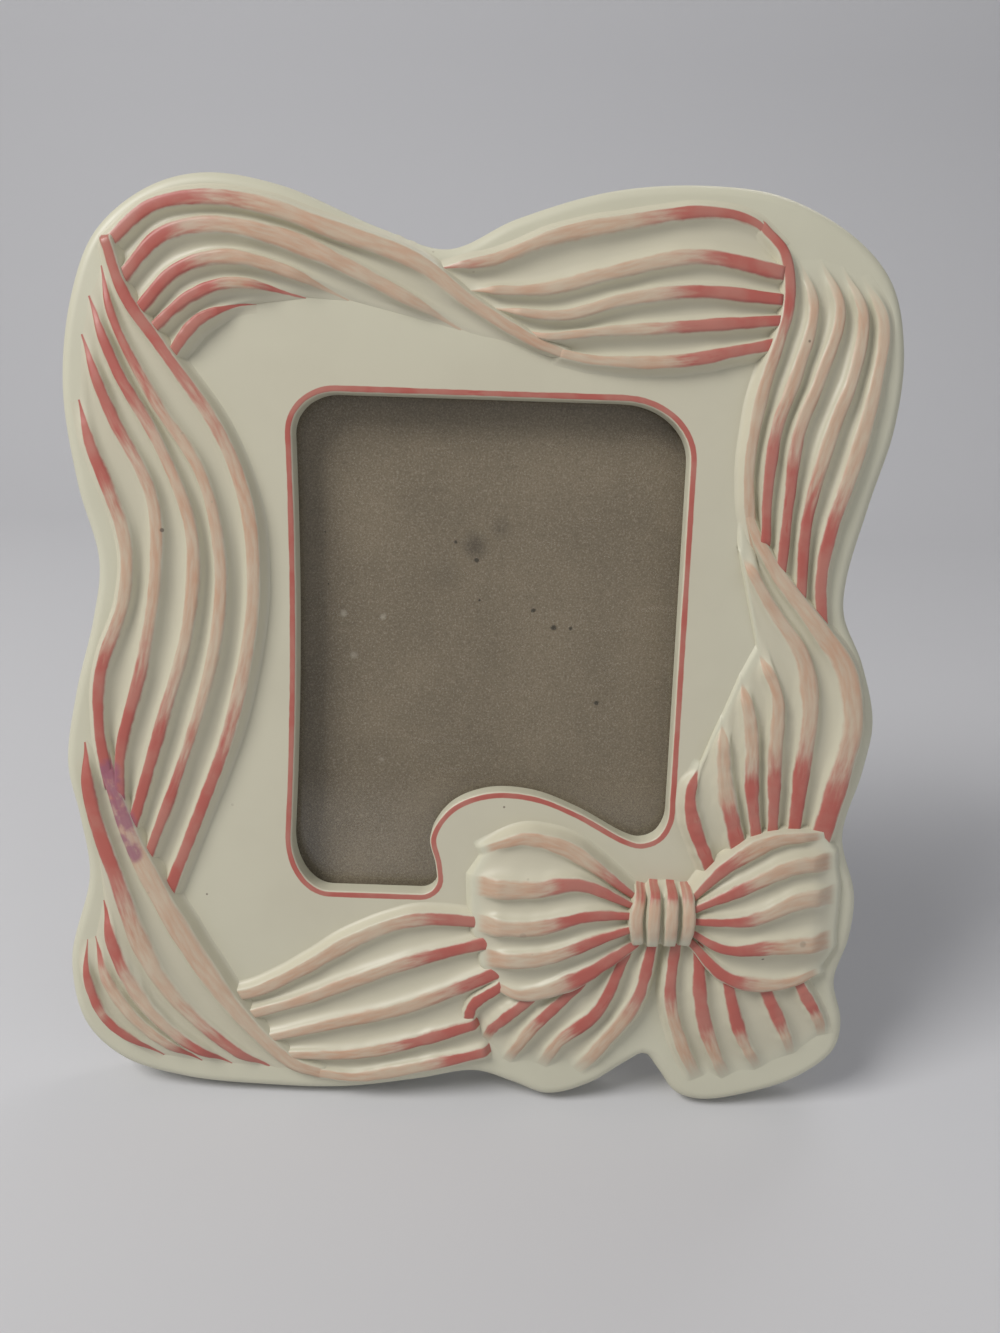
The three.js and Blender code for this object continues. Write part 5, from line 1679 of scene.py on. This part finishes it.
def fastener_tree() -> bpy.types.GeometryNodeTree:
    """Makes the node tree of a domed fastener with an optional driver slot, set at every given point.

    Returns:
        The tree.
    """
    tree = bpy.data.node_groups.new("Fastener", "GeometryNodeTree")
    tree.interface.new_socket("Geometry", in_out="INPUT", socket_type="NodeSocketGeometry")
    for label in ("Head Radius", "Head Height", "Shank Radius", "Shank Length", "Slot Width", "Slot Depth"):
        tree.interface.new_socket(label, in_out="INPUT", socket_type="NodeSocketFloat")
    tree.interface.new_socket("Material", in_out="INPUT", socket_type="NodeSocketMaterial")
    tree.interface.new_socket("Geometry", in_out="OUTPUT", socket_type="NodeSocketGeometry")
    graph = Graph(tree)
    given = graph.add("NodeGroupInput").outputs
    radius, height, length = given["Head Radius"], given["Head Height"], given["Shank Length"]
    wide = graph.times(radius, 4.0)
    sizes = {"Segments": HEAD_SEGMENTS, "Rings": HEAD_RINGS, "Radius": radius}
    ball = graph.add("GeometryNodeMeshUVSphere", sizes)
    dome = graph.transform(ball, Scale=graph.vector(1.0, 1.0, graph.calculate("DIVIDE", height, radius)))
    block = graph.add("GeometryNodeMeshCube", {"Size": graph.vector(wide, wide, wide)})
    below = graph.transform(block, Translation=graph.vector(0.0, 0.0, graph.times(radius, -2.0)))
    twice = graph.times(given["Slot Depth"], 2.0)
    bar = graph.add("GeometryNodeMeshCube", {"Size": graph.vector(wide, given["Slot Width"], twice)})
    cut = graph.transform(bar, Translation=graph.vector(0.0, 0.0, height))
    head = graph.add("GeometryNodeMeshBoolean", {"Mesh 1": dome.outputs[0]}, operation="DIFFERENCE")
    for taken in (below, cut):
        tree.links.new(taken.outputs[0], head.inputs["Mesh 2"])
    sizes = {"Vertices": SHANK_SIDES, "Radius": given["Shank Radius"], "Depth": length}
    rod = graph.add("GeometryNodeMeshCylinder", sizes)
    shank = graph.transform(rod, Translation=graph.vector(0.0, 0.0, graph.times(length, -0.5)))
    whole = graph.add("GeometryNodeJoinGeometry")
    for half in (head, shank):
        tree.links.new(half.outputs[0], whole.inputs[0])
    heading = graph.add("GeometryNodeInputNamedAttribute", {"Name": "heading"}, data_type="FLOAT_VECTOR")
    placed = graph.add("GeometryNodeInstanceOnPoints", {
        "Points": given["Geometry"], "Instance": whole.outputs[0], "Rotation": heading.outputs[0]})
    real = graph.add("GeometryNodeRealizeInstances", {"Geometry": placed.outputs[0]})
    smooth = graph.add("GeometryNodeSetShadeSmooth", {"Geometry": real.outputs[0]})
    dress = {"Geometry": smooth.outputs[0], "Material": given["Material"]}
    dressed = graph.add("GeometryNodeSetMaterial", dress)
    graph.add("NodeGroupOutput", {"Geometry": dressed.outputs[0]})
    return tree


@dataclass
class Fasteners:
    """Domed fasteners that stand in the places of CAD screws or rivets.

    Attributes:
        name: The piece's name.
        body: The body that they ride on.
        nodes: The CAD nodes that they stand for.
        axis: The way that their heads face.
        slot: The record's slot.
        head: Radius and height of the head.
        shank: Radius and length of the shank.
        groove: Width and depth of the driver slot; no depth leaves the head plain.
        turns: How far the first one is turned, and each next one after it, in radians.
        crisp: From which turn on an edge is shaded crisp.
    """

    name: str
    body: Body
    nodes: tuple[str, ...]
    axis: Vector
    slot: Slot
    head: Pair
    shank: Pair
    groove: Pair = (0.1, 0.0)
    turns: Pair = (0.6, 1.3)
    crisp: float = math.radians(40)

    def seats(self, frame: dict) -> bpy.types.Mesh:
        """Marks where each fastener's head sits, with its heading.

        Args:
            frame: The loaded frame.

        Returns:
            A mesh of one point for each CAD node.
        """
        mesh = bpy.data.meshes.new(self.name)
        turned = Vector((0, 0, 1)).rotation_difference(self.axis).to_matrix()
        places, headings = [], []
        for number, node in enumerate(self.nodes):
            corners = np.array([corner.co for corner in frame["nodes"][node].data.vertices])
            top = corners[np.argmax(corners @ np.array(self.axis))]
            places.append(Vector(top) - self.axis * self.head[1] * MM)
            turn = self.turns[0] + self.turns[1] * number
            headings.extend((turned @ Matrix.Rotation(turn, 3, "Z")).to_euler())
        mesh.from_pydata(places, [], [])
        mesh.attributes.new("heading", "FLOAT_VECTOR", "POINT").data.foreach_set("vector", headings)
        return mesh

    def build(self, kit: Kit) -> bpy.types.Object:
        """Makes the fasteners as one piece.

        Args:
            kit: What they are made from.

        Returns:
            The piece.
        """
        piece = add_object(self.name, self.seats(kit.frame))
        modifier = piece.modifiers.new("fasteners", "NODES")
        modifier.node_group = kit.fastener
        sizes = {
            "Head Radius": self.head[0], "Head Height": self.head[1], "Shank Radius": self.shank[0],
            "Shank Length": self.shank[1], "Slot Width": self.groove[0], "Slot Depth": self.groove[1],
        }
        for item in kit.fastener.interface.items_tree:
            if item.name in sizes:
                modifier[item.identifier] = sizes[item.name] * MM
            elif item.name == "Material":
                modifier[item.identifier] = kit.finishes[self.slot]
        apply_modifiers(piece)
        piece.data.set_sharp_from_angle(angle=self.crisp)
        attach(piece, self.body.value)
        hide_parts(*self.nodes)
        return piece


@dataclass
class Dressed:
    """A CAD node copied with eased edges and a finish of its own.

    Attributes:
        node: The CAD node.
        bevel: How far its sharp edges are eased, in millimetres.
        slot: The record's slot.
        axis: The way its broad face looks, where its cut edge has a finish of its own.
        edge_cosine: Up to which cosine to that way a face counts as cut edge.
        weld: How close the points are that become one, in metres.
        even: Up to which turn faces become one.
        sharp: From which turn on an edge is eased.
        crisp: From which turn on an edge is shaded crisp.
        steps: How many faces ease an edge.
    """

    node: str
    bevel: float
    slot: Slot
    axis: Vector | None = None
    edge_cosine: float = 0.5
    weld: float = 2e-6
    even: float = math.radians(1)
    sharp: float = math.radians(38)
    crisp: float = math.radians(32)
    steps: int = 2

    def eased(self, source: bpy.types.Mesh) -> bpy.types.Mesh:
        """Copies a mesh with its sharp edges eased.

        Args:
            source: The CAD mesh.

        Returns:
            The new mesh.
        """
        shape = bmesh.new()
        shape.from_mesh(source)
        bmesh.ops.remove_doubles(shape, verts=shape.verts, dist=self.weld)
        bmesh.ops.dissolve_limit(shape, angle_limit=self.even, verts=shape.verts, edges=shape.edges)
        sharp = [edge for edge in shape.edges if edge.is_manifold and edge.calc_face_angle() > self.sharp]
        bmesh.ops.bevel(shape, geom=sharp, offset=self.bevel * MM, segments=self.steps, profile=0.5,
                        affect="EDGES", clamp_overlap=True)
        bmesh.ops.triangulate(shape, faces=[face for face in shape.faces if len(face.verts) > 4])
        mesh = bpy.data.meshes.new(f"{self.node}_dressed")
        shape.to_mesh(mesh)
        shape.free()
        return mesh

    @staticmethod
    def weigh_normals(piece: bpy.types.Object) -> None:
        """Lets the broad flat faces of a piece keep their own shading beside its eased edges.

        Args:
            piece: The piece, which gets a new mesh.
        """
        modifier = piece.modifiers.new("normals", "WEIGHTED_NORMAL")
        modifier.weight = 100
        modifier.keep_sharp = True
        apply_modifiers(piece)

    def build(self, kit: Kit) -> bpy.types.Object:
        """Makes the piece.

        Args:
            kit: What it is made from.

        Returns:
            The piece, riding on the node's own body.
        """
        source = kit.frame["nodes"][self.node]
        mesh = self.eased(source.data)
        mesh.materials.clear()
        mesh.materials.append(kit.finishes[self.slot])
        shade_smooth(mesh)
        mesh.set_sharp_from_angle(angle=self.crisp)
        if self.axis is not None:
            cosines = [abs(polygon.normal.dot(self.axis)) for polygon in mesh.polygons]
            edge = [float(cosine < self.edge_cosine) for cosine in cosines]
            mesh.attributes.new("core", "FLOAT", "FACE").data.foreach_set("value", edge)
        piece = add_object(f"{self.node}_dressed", mesh)
        self.weigh_normals(piece)
        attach(piece, source["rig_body"])
        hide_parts(self.node)
        return piece


@dataclass
class EaselBack:
    """The board that closes the rebate, the strut that it leans on, and their riveted hinge.

    Attributes:
        board_bevel, strut_bevel, hinge_bevel: How far the edges of each are eased.
        rivet_head: Radius and height of a rivet's head.
        rivet_shank: Radius and length of its shank.
    """

    board_bevel: float = 0.25
    strut_bevel: float = 0.3
    hinge_bevel: float = 0.12
    rivet_head: Pair = (2.5, 1.1)
    rivet_shank: Pair = (1.2, 2.6)

    def build(self, kit: Kit) -> list[bpy.types.Object]:
        """Makes its pieces.

        Args:
            kit: What they are made from.

        Returns:
            The pieces.
        """
        dressed = [
            Dressed("easel_back", self.board_bevel, Slot.FLOCK, REAR),
            Dressed("strut", self.strut_bevel, Slot.FLOCK, STRUT_REAR),
        ]
        for node in ("hinge_plate", "hinge_leaf", "hinge_pin"):
            dressed.append(Dressed(node, self.hinge_bevel, Slot.HINGE))
        pieces = [one.build(kit) for one in dressed]
        for leaf, body, axis in (("plate", Body.FRAME, REAR), ("strut", Body.STRUT, STRUT_REAR)):
            nodes = tuple(f"{leaf}_rivet_{side}" for side in ("left", "right"))
            rivets = Fasteners(
                f"{leaf}_rivets", body, nodes, axis, Slot.HINGE, self.rivet_head, self.rivet_shank)
            pieces.append(rivets.build(kit))
        return pieces


@dataclass
class TurnButtons:
    """The turn buttons that hold the board in, each on its screw.

    Attributes:
        bevel: How far a button's edges are eased.
        head: Radius and height of a screw's head.
        shank: Radius and length of its shank.
        groove: Width and depth of its driver slot.
        corners: Where the buttons are.
    """

    bevel: float = 0.1
    head: Pair = (2.9, 1.7)
    shank: Pair = (1.4, 7.4)
    groove: Pair = (0.75, 0.8)
    corners: tuple[str, ...] = ("upper_left", "upper_right", "lower_left", "lower_right")

    def build(self, kit: Kit) -> list[bpy.types.Object]:
        """Makes the buttons and their screws.

        Args:
            kit: What they are made from.

        Returns:
            The pieces.
        """
        buttons = [Dressed(f"turn_button_{corner}", self.bevel, Slot.BRASS) for corner in self.corners]
        nodes = tuple(f"turn_screw_{corner}" for corner in self.corners)
        screws = Fasteners(
            "turn_screws", Body.FRAME, nodes, REAR, Slot.SCREW, self.head, self.shank, self.groove)
        return [piece.build(kit) for piece in (*buttons, screws)]


@dataclass(frozen=True)
class Lamp:
    """A soft lamp that faces the middle of the frame.

    Attributes:
        name, colour: Its name and colour.
        place, size: Where it hangs and how wide it is, in metres.
        power: Its power, in watts.
    """

    name: str
    place: Triple
    size: float
    power: float
    colour: Colour

    def build(self, target: Triple) -> None:
        """Hangs the lamp.

        Args:
            target: The point that it faces.
        """
        data = bpy.data.lights.new(self.name, "AREA")
        data.size = self.size
        data.energy = self.power
        data.color = self.colour
        lamp = add_object(self.name, data)
        lamp.location = self.place
        lamp.rotation_euler = (Vector(target) - Vector(self.place)).to_track_quat("-Z", "Y").to_euler()


@dataclass
class Studio:
    """Camera, lights and floor.

    Attributes:
        face: Where the casting stands.
        aim: The point on the face that the camera looks at.
        distance: How far the camera is from it, in millimetres.
        pitch: How far above the face's own normal the camera sits.
        roll: How far the frame is turned clockwise in the picture.
        lens: Focal length on a 36 mm sensor.
        nearest: Where the camera's view starts, in metres.
        lamps: The lamps.
        lit: The point that the lamps face, in metres.
        sky, sky_strength: The colour of the light all round, and how bright it is.
        floor_colour, floor_rough: The floor's colour and roughness.
        floor_ends: Where the flat of the floor starts and ends, in metres.
        floor_bend: Radius of its turn up into the backdrop, in metres.
        floor_top: How high the backdrop goes, in metres.
        floor_half: Half the floor's width, in metres.
        bend_steps: How many rows draw its turn.
    """

    face: Face
    aim: Pair = (6.6, 98.7)
    distance: float = 211.0
    pitch: float = math.radians(9.09)
    roll: float = math.radians(1.9)
    lens: float = 27.0
    nearest: float = 0.005
    lamps: tuple[Lamp, ...] = (
        Lamp("key", (-0.7, -0.42, 0.95), 0.5, 10.8, (1.0, 0.985, 0.96)),
        Lamp("fill", (0.85, -0.75, 0.45), 0.8, 2.0, (0.95, 0.97, 1.0)),
        Lamp("rear", (0.35, 0.9, 0.8), 0.7, 4.0, (1.0, 0.98, 0.95)),
    )
    lit: Triple = (0.0, 0.0, 0.09)
    sky: Colour = (0.82, 0.83, 0.86)
    sky_strength: float = 0.26
    floor_colour: Colour = (0.62, 0.62, 0.64)
    floor_rough: float = 0.85
    floor_ends: Pair = (-1.6, 0.5)
    floor_bend: float = 0.35
    floor_top: float = 2.0
    floor_half: float = 2.5
    bend_steps: int = 12

    def camera(self) -> None:
        """Sets the camera where the photograph was taken from."""
        back = UP_FACE * math.sin(self.pitch) + OUT_OF_FACE * math.cos(self.pitch)
        up = UP_FACE * math.cos(self.pitch) - OUT_OF_FACE * math.sin(self.pitch)
        turned = Matrix((up.cross(back), up, back)).transposed().to_4x4()
        place = Matrix.Translation(self.face.point(*self.aim) + back * self.distance * MM)
        data = bpy.data.cameras.new("camera")
        data.lens = self.lens
        data.clip_start = self.nearest
        camera = add_object("camera", data)
        camera.matrix_world = place @ turned @ Matrix.Rotation(self.roll, 4, "Z")
        bpy.context.scene.camera = camera

    def floor(self) -> bpy.types.Object:
        """Makes a wide pale floor that turns up into a backdrop.

        Returns:
            The floor.
        """
        front, rear = self.floor_ends
        profile = [(front, 0.0), (rear, 0.0)]
        for turn in np.linspace(0, QUARTER, self.bend_steps):
            profile.append((rear + self.floor_bend * math.sin(turn), self.floor_bend * (1 - math.cos(turn))))
        profile.append((rear + self.floor_bend, self.floor_top))
        points = [(side * self.floor_half, y, z) for y, z in profile for side in (-1, 1)]
        faces = [(2 * n, 2 * n + 1, 2 * n + 3, 2 * n + 2) for n in range(len(profile) - 1)]
        mesh = bpy.data.meshes.new("floor")
        mesh.from_pydata(points, [], faces)
        shade_smooth(mesh)
        material = bpy.data.materials.new("floor")
        material.use_nodes = True
        shader = material.node_tree.nodes["Principled BSDF"]
        shader.inputs["Base Color"].default_value = (*self.floor_colour, 1.0)
        shader.inputs["Roughness"].default_value = self.floor_rough
        mesh.materials.append(material)
        return add_object("floor", mesh)

    def build(self) -> None:
        """Sets the whole stage."""
        self.camera()
        for lamp in self.lamps:
            lamp.build(self.lit)
        world = bpy.data.worlds.new("studio")
        world.use_nodes = True
        background = world.node_tree.nodes["Background"]
        background.inputs["Color"].default_value = (*self.sky, 1.0)
        background.inputs["Strength"].default_value = self.sky_strength
        bpy.context.scene.world = world
        bpy.context.scene.view_settings.view_transform = "Standard"
        self.floor()


class PictureFrame:
    """The whole dressed frame.

    Attributes:
        dents, scuffs: The dark and the light marks on the board behind the glass.
    """

    dents: tuple[Mark, ...] = (
        Mark((0.9, 123.9), 4.2, 1.0, 0.5), Mark((6, 128), 3.4, 1.0, 0.25), Mark((-5, 118), 6.0, 1.0, 0.2),
        Mark((-3.2, 124.7), 0.55, 0.6), Mark((1.3, 121), 0.7, 0.6), Mark((2, 112.5), 0.4, 0.6),
        Mark((13.8, 110.6), 0.65, 0.6), Mark((18.3, 107), 0.85, 0.6), Mark((22, 106.9), 0.65, 0.6),
        Mark((28.3, 90.8), 0.75, 0.6), Mark((-31.2, 126), 0.3, 0.6), Mark((-30.5, 115), 0.3, 0.6),
    )
    scuffs: tuple[Mark, ...] = (
        Mark((-27.1, 108.6), 1.2, 0.9, 0.6), Mark((-18.6, 108.2), 1.1, 0.9, 0.5),
        Mark((-24.8, 99.6), 1.2, 0.9, 0.45), Mark((-18.4, 76.5), 0.9, 0.9, 0.4),
    )

    def __init__(self, frame: dict) -> None:
        """Finds the face and makes the finishes.

        Args:
            frame: The loaded frame.
        """
        self.window = Window()
        self.face = Face.from_glass(self.window)
        self.kit = Kit(frame, self.make_finishes(), fastener_tree())

    def make_finishes(self) -> Finishes:
        """Makes a finish for each slot.

        Returns:
            The materials by slot.
        """
        shared = {"grain": grain_group(), "wear": wear_group()}
        made = (
            PaintedCasting(Slot.CASTING, **shared, face=self.face),
            ClearGlass(Slot.GLASS, **shared),
            Board(Slot.CHIPBOARD, **shared, face=self.face, colour=(0.255, 0.192, 0.133),
                  fleck=(0.42, 0.35, 0.27), core=(0.34, 0.28, 0.2), depth=INSERT_DEPTH, dents=self.dents,
                  scuffs=self.scuffs),
            Board(Slot.FLOCK, **shared, face=self.face, colour=(0.018, 0.016, 0.015),
                  fleck=(0.05, 0.046, 0.043), core=(0.21, 0.165, 0.11), pile=0.5),
            Metal(Slot.HINGE, **shared, colour=(0.60, 0.59, 0.56), dull=(0.33, 0.31, 0.28), rough=0.3),
            Metal(Slot.SCREW, **shared, colour=(0.64, 0.62, 0.58), dull=(0.36, 0.33, 0.28), rough=0.26),
            Metal(Slot.BRASS, **shared, colour=(0.66, 0.47, 0.19), dull=(0.28, 0.19, 0.09), rough=0.27),
        )
        return {finish.slot: finish.build() for finish in made}

    def keep(self, node: str, slot: Slot) -> None:
        """Gives a CAD node that stays as it is its finish.

        Args:
            node: The CAD node.
            slot: The record's slot.
        """
        materials = self.kit.frame["nodes"][node].data.materials
        materials.clear()
        materials.append(self.kit.finishes[slot])

    def build(self) -> list[bpy.types.Object]:
        """Makes every piece.

        Returns:
            The pieces.
        """
        self.keep("window_glass", Slot.GLASS)
        self.keep("backing_insert", Slot.CHIPBOARD)
        front = CastFront(self.face, self.window).build(self.kit)
        return [front, *EaselBack().build(self.kit), *TurnButtons().build(self.kit)]


def main() -> None:
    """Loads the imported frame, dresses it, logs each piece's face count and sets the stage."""
    logging.basicConfig(level=logging.INFO, format="%(name)s: %(message)s")
    for item in list(bpy.data.objects):
        bpy.data.objects.remove(item)
    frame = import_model()
    picture_frame = PictureFrame(frame)
    for piece in picture_frame.build():
        LOG.info("%s has %d faces", piece.name, len(piece.data.polygons))
    Studio(picture_frame.face).build()


if __name__ == "__main__":
    main()
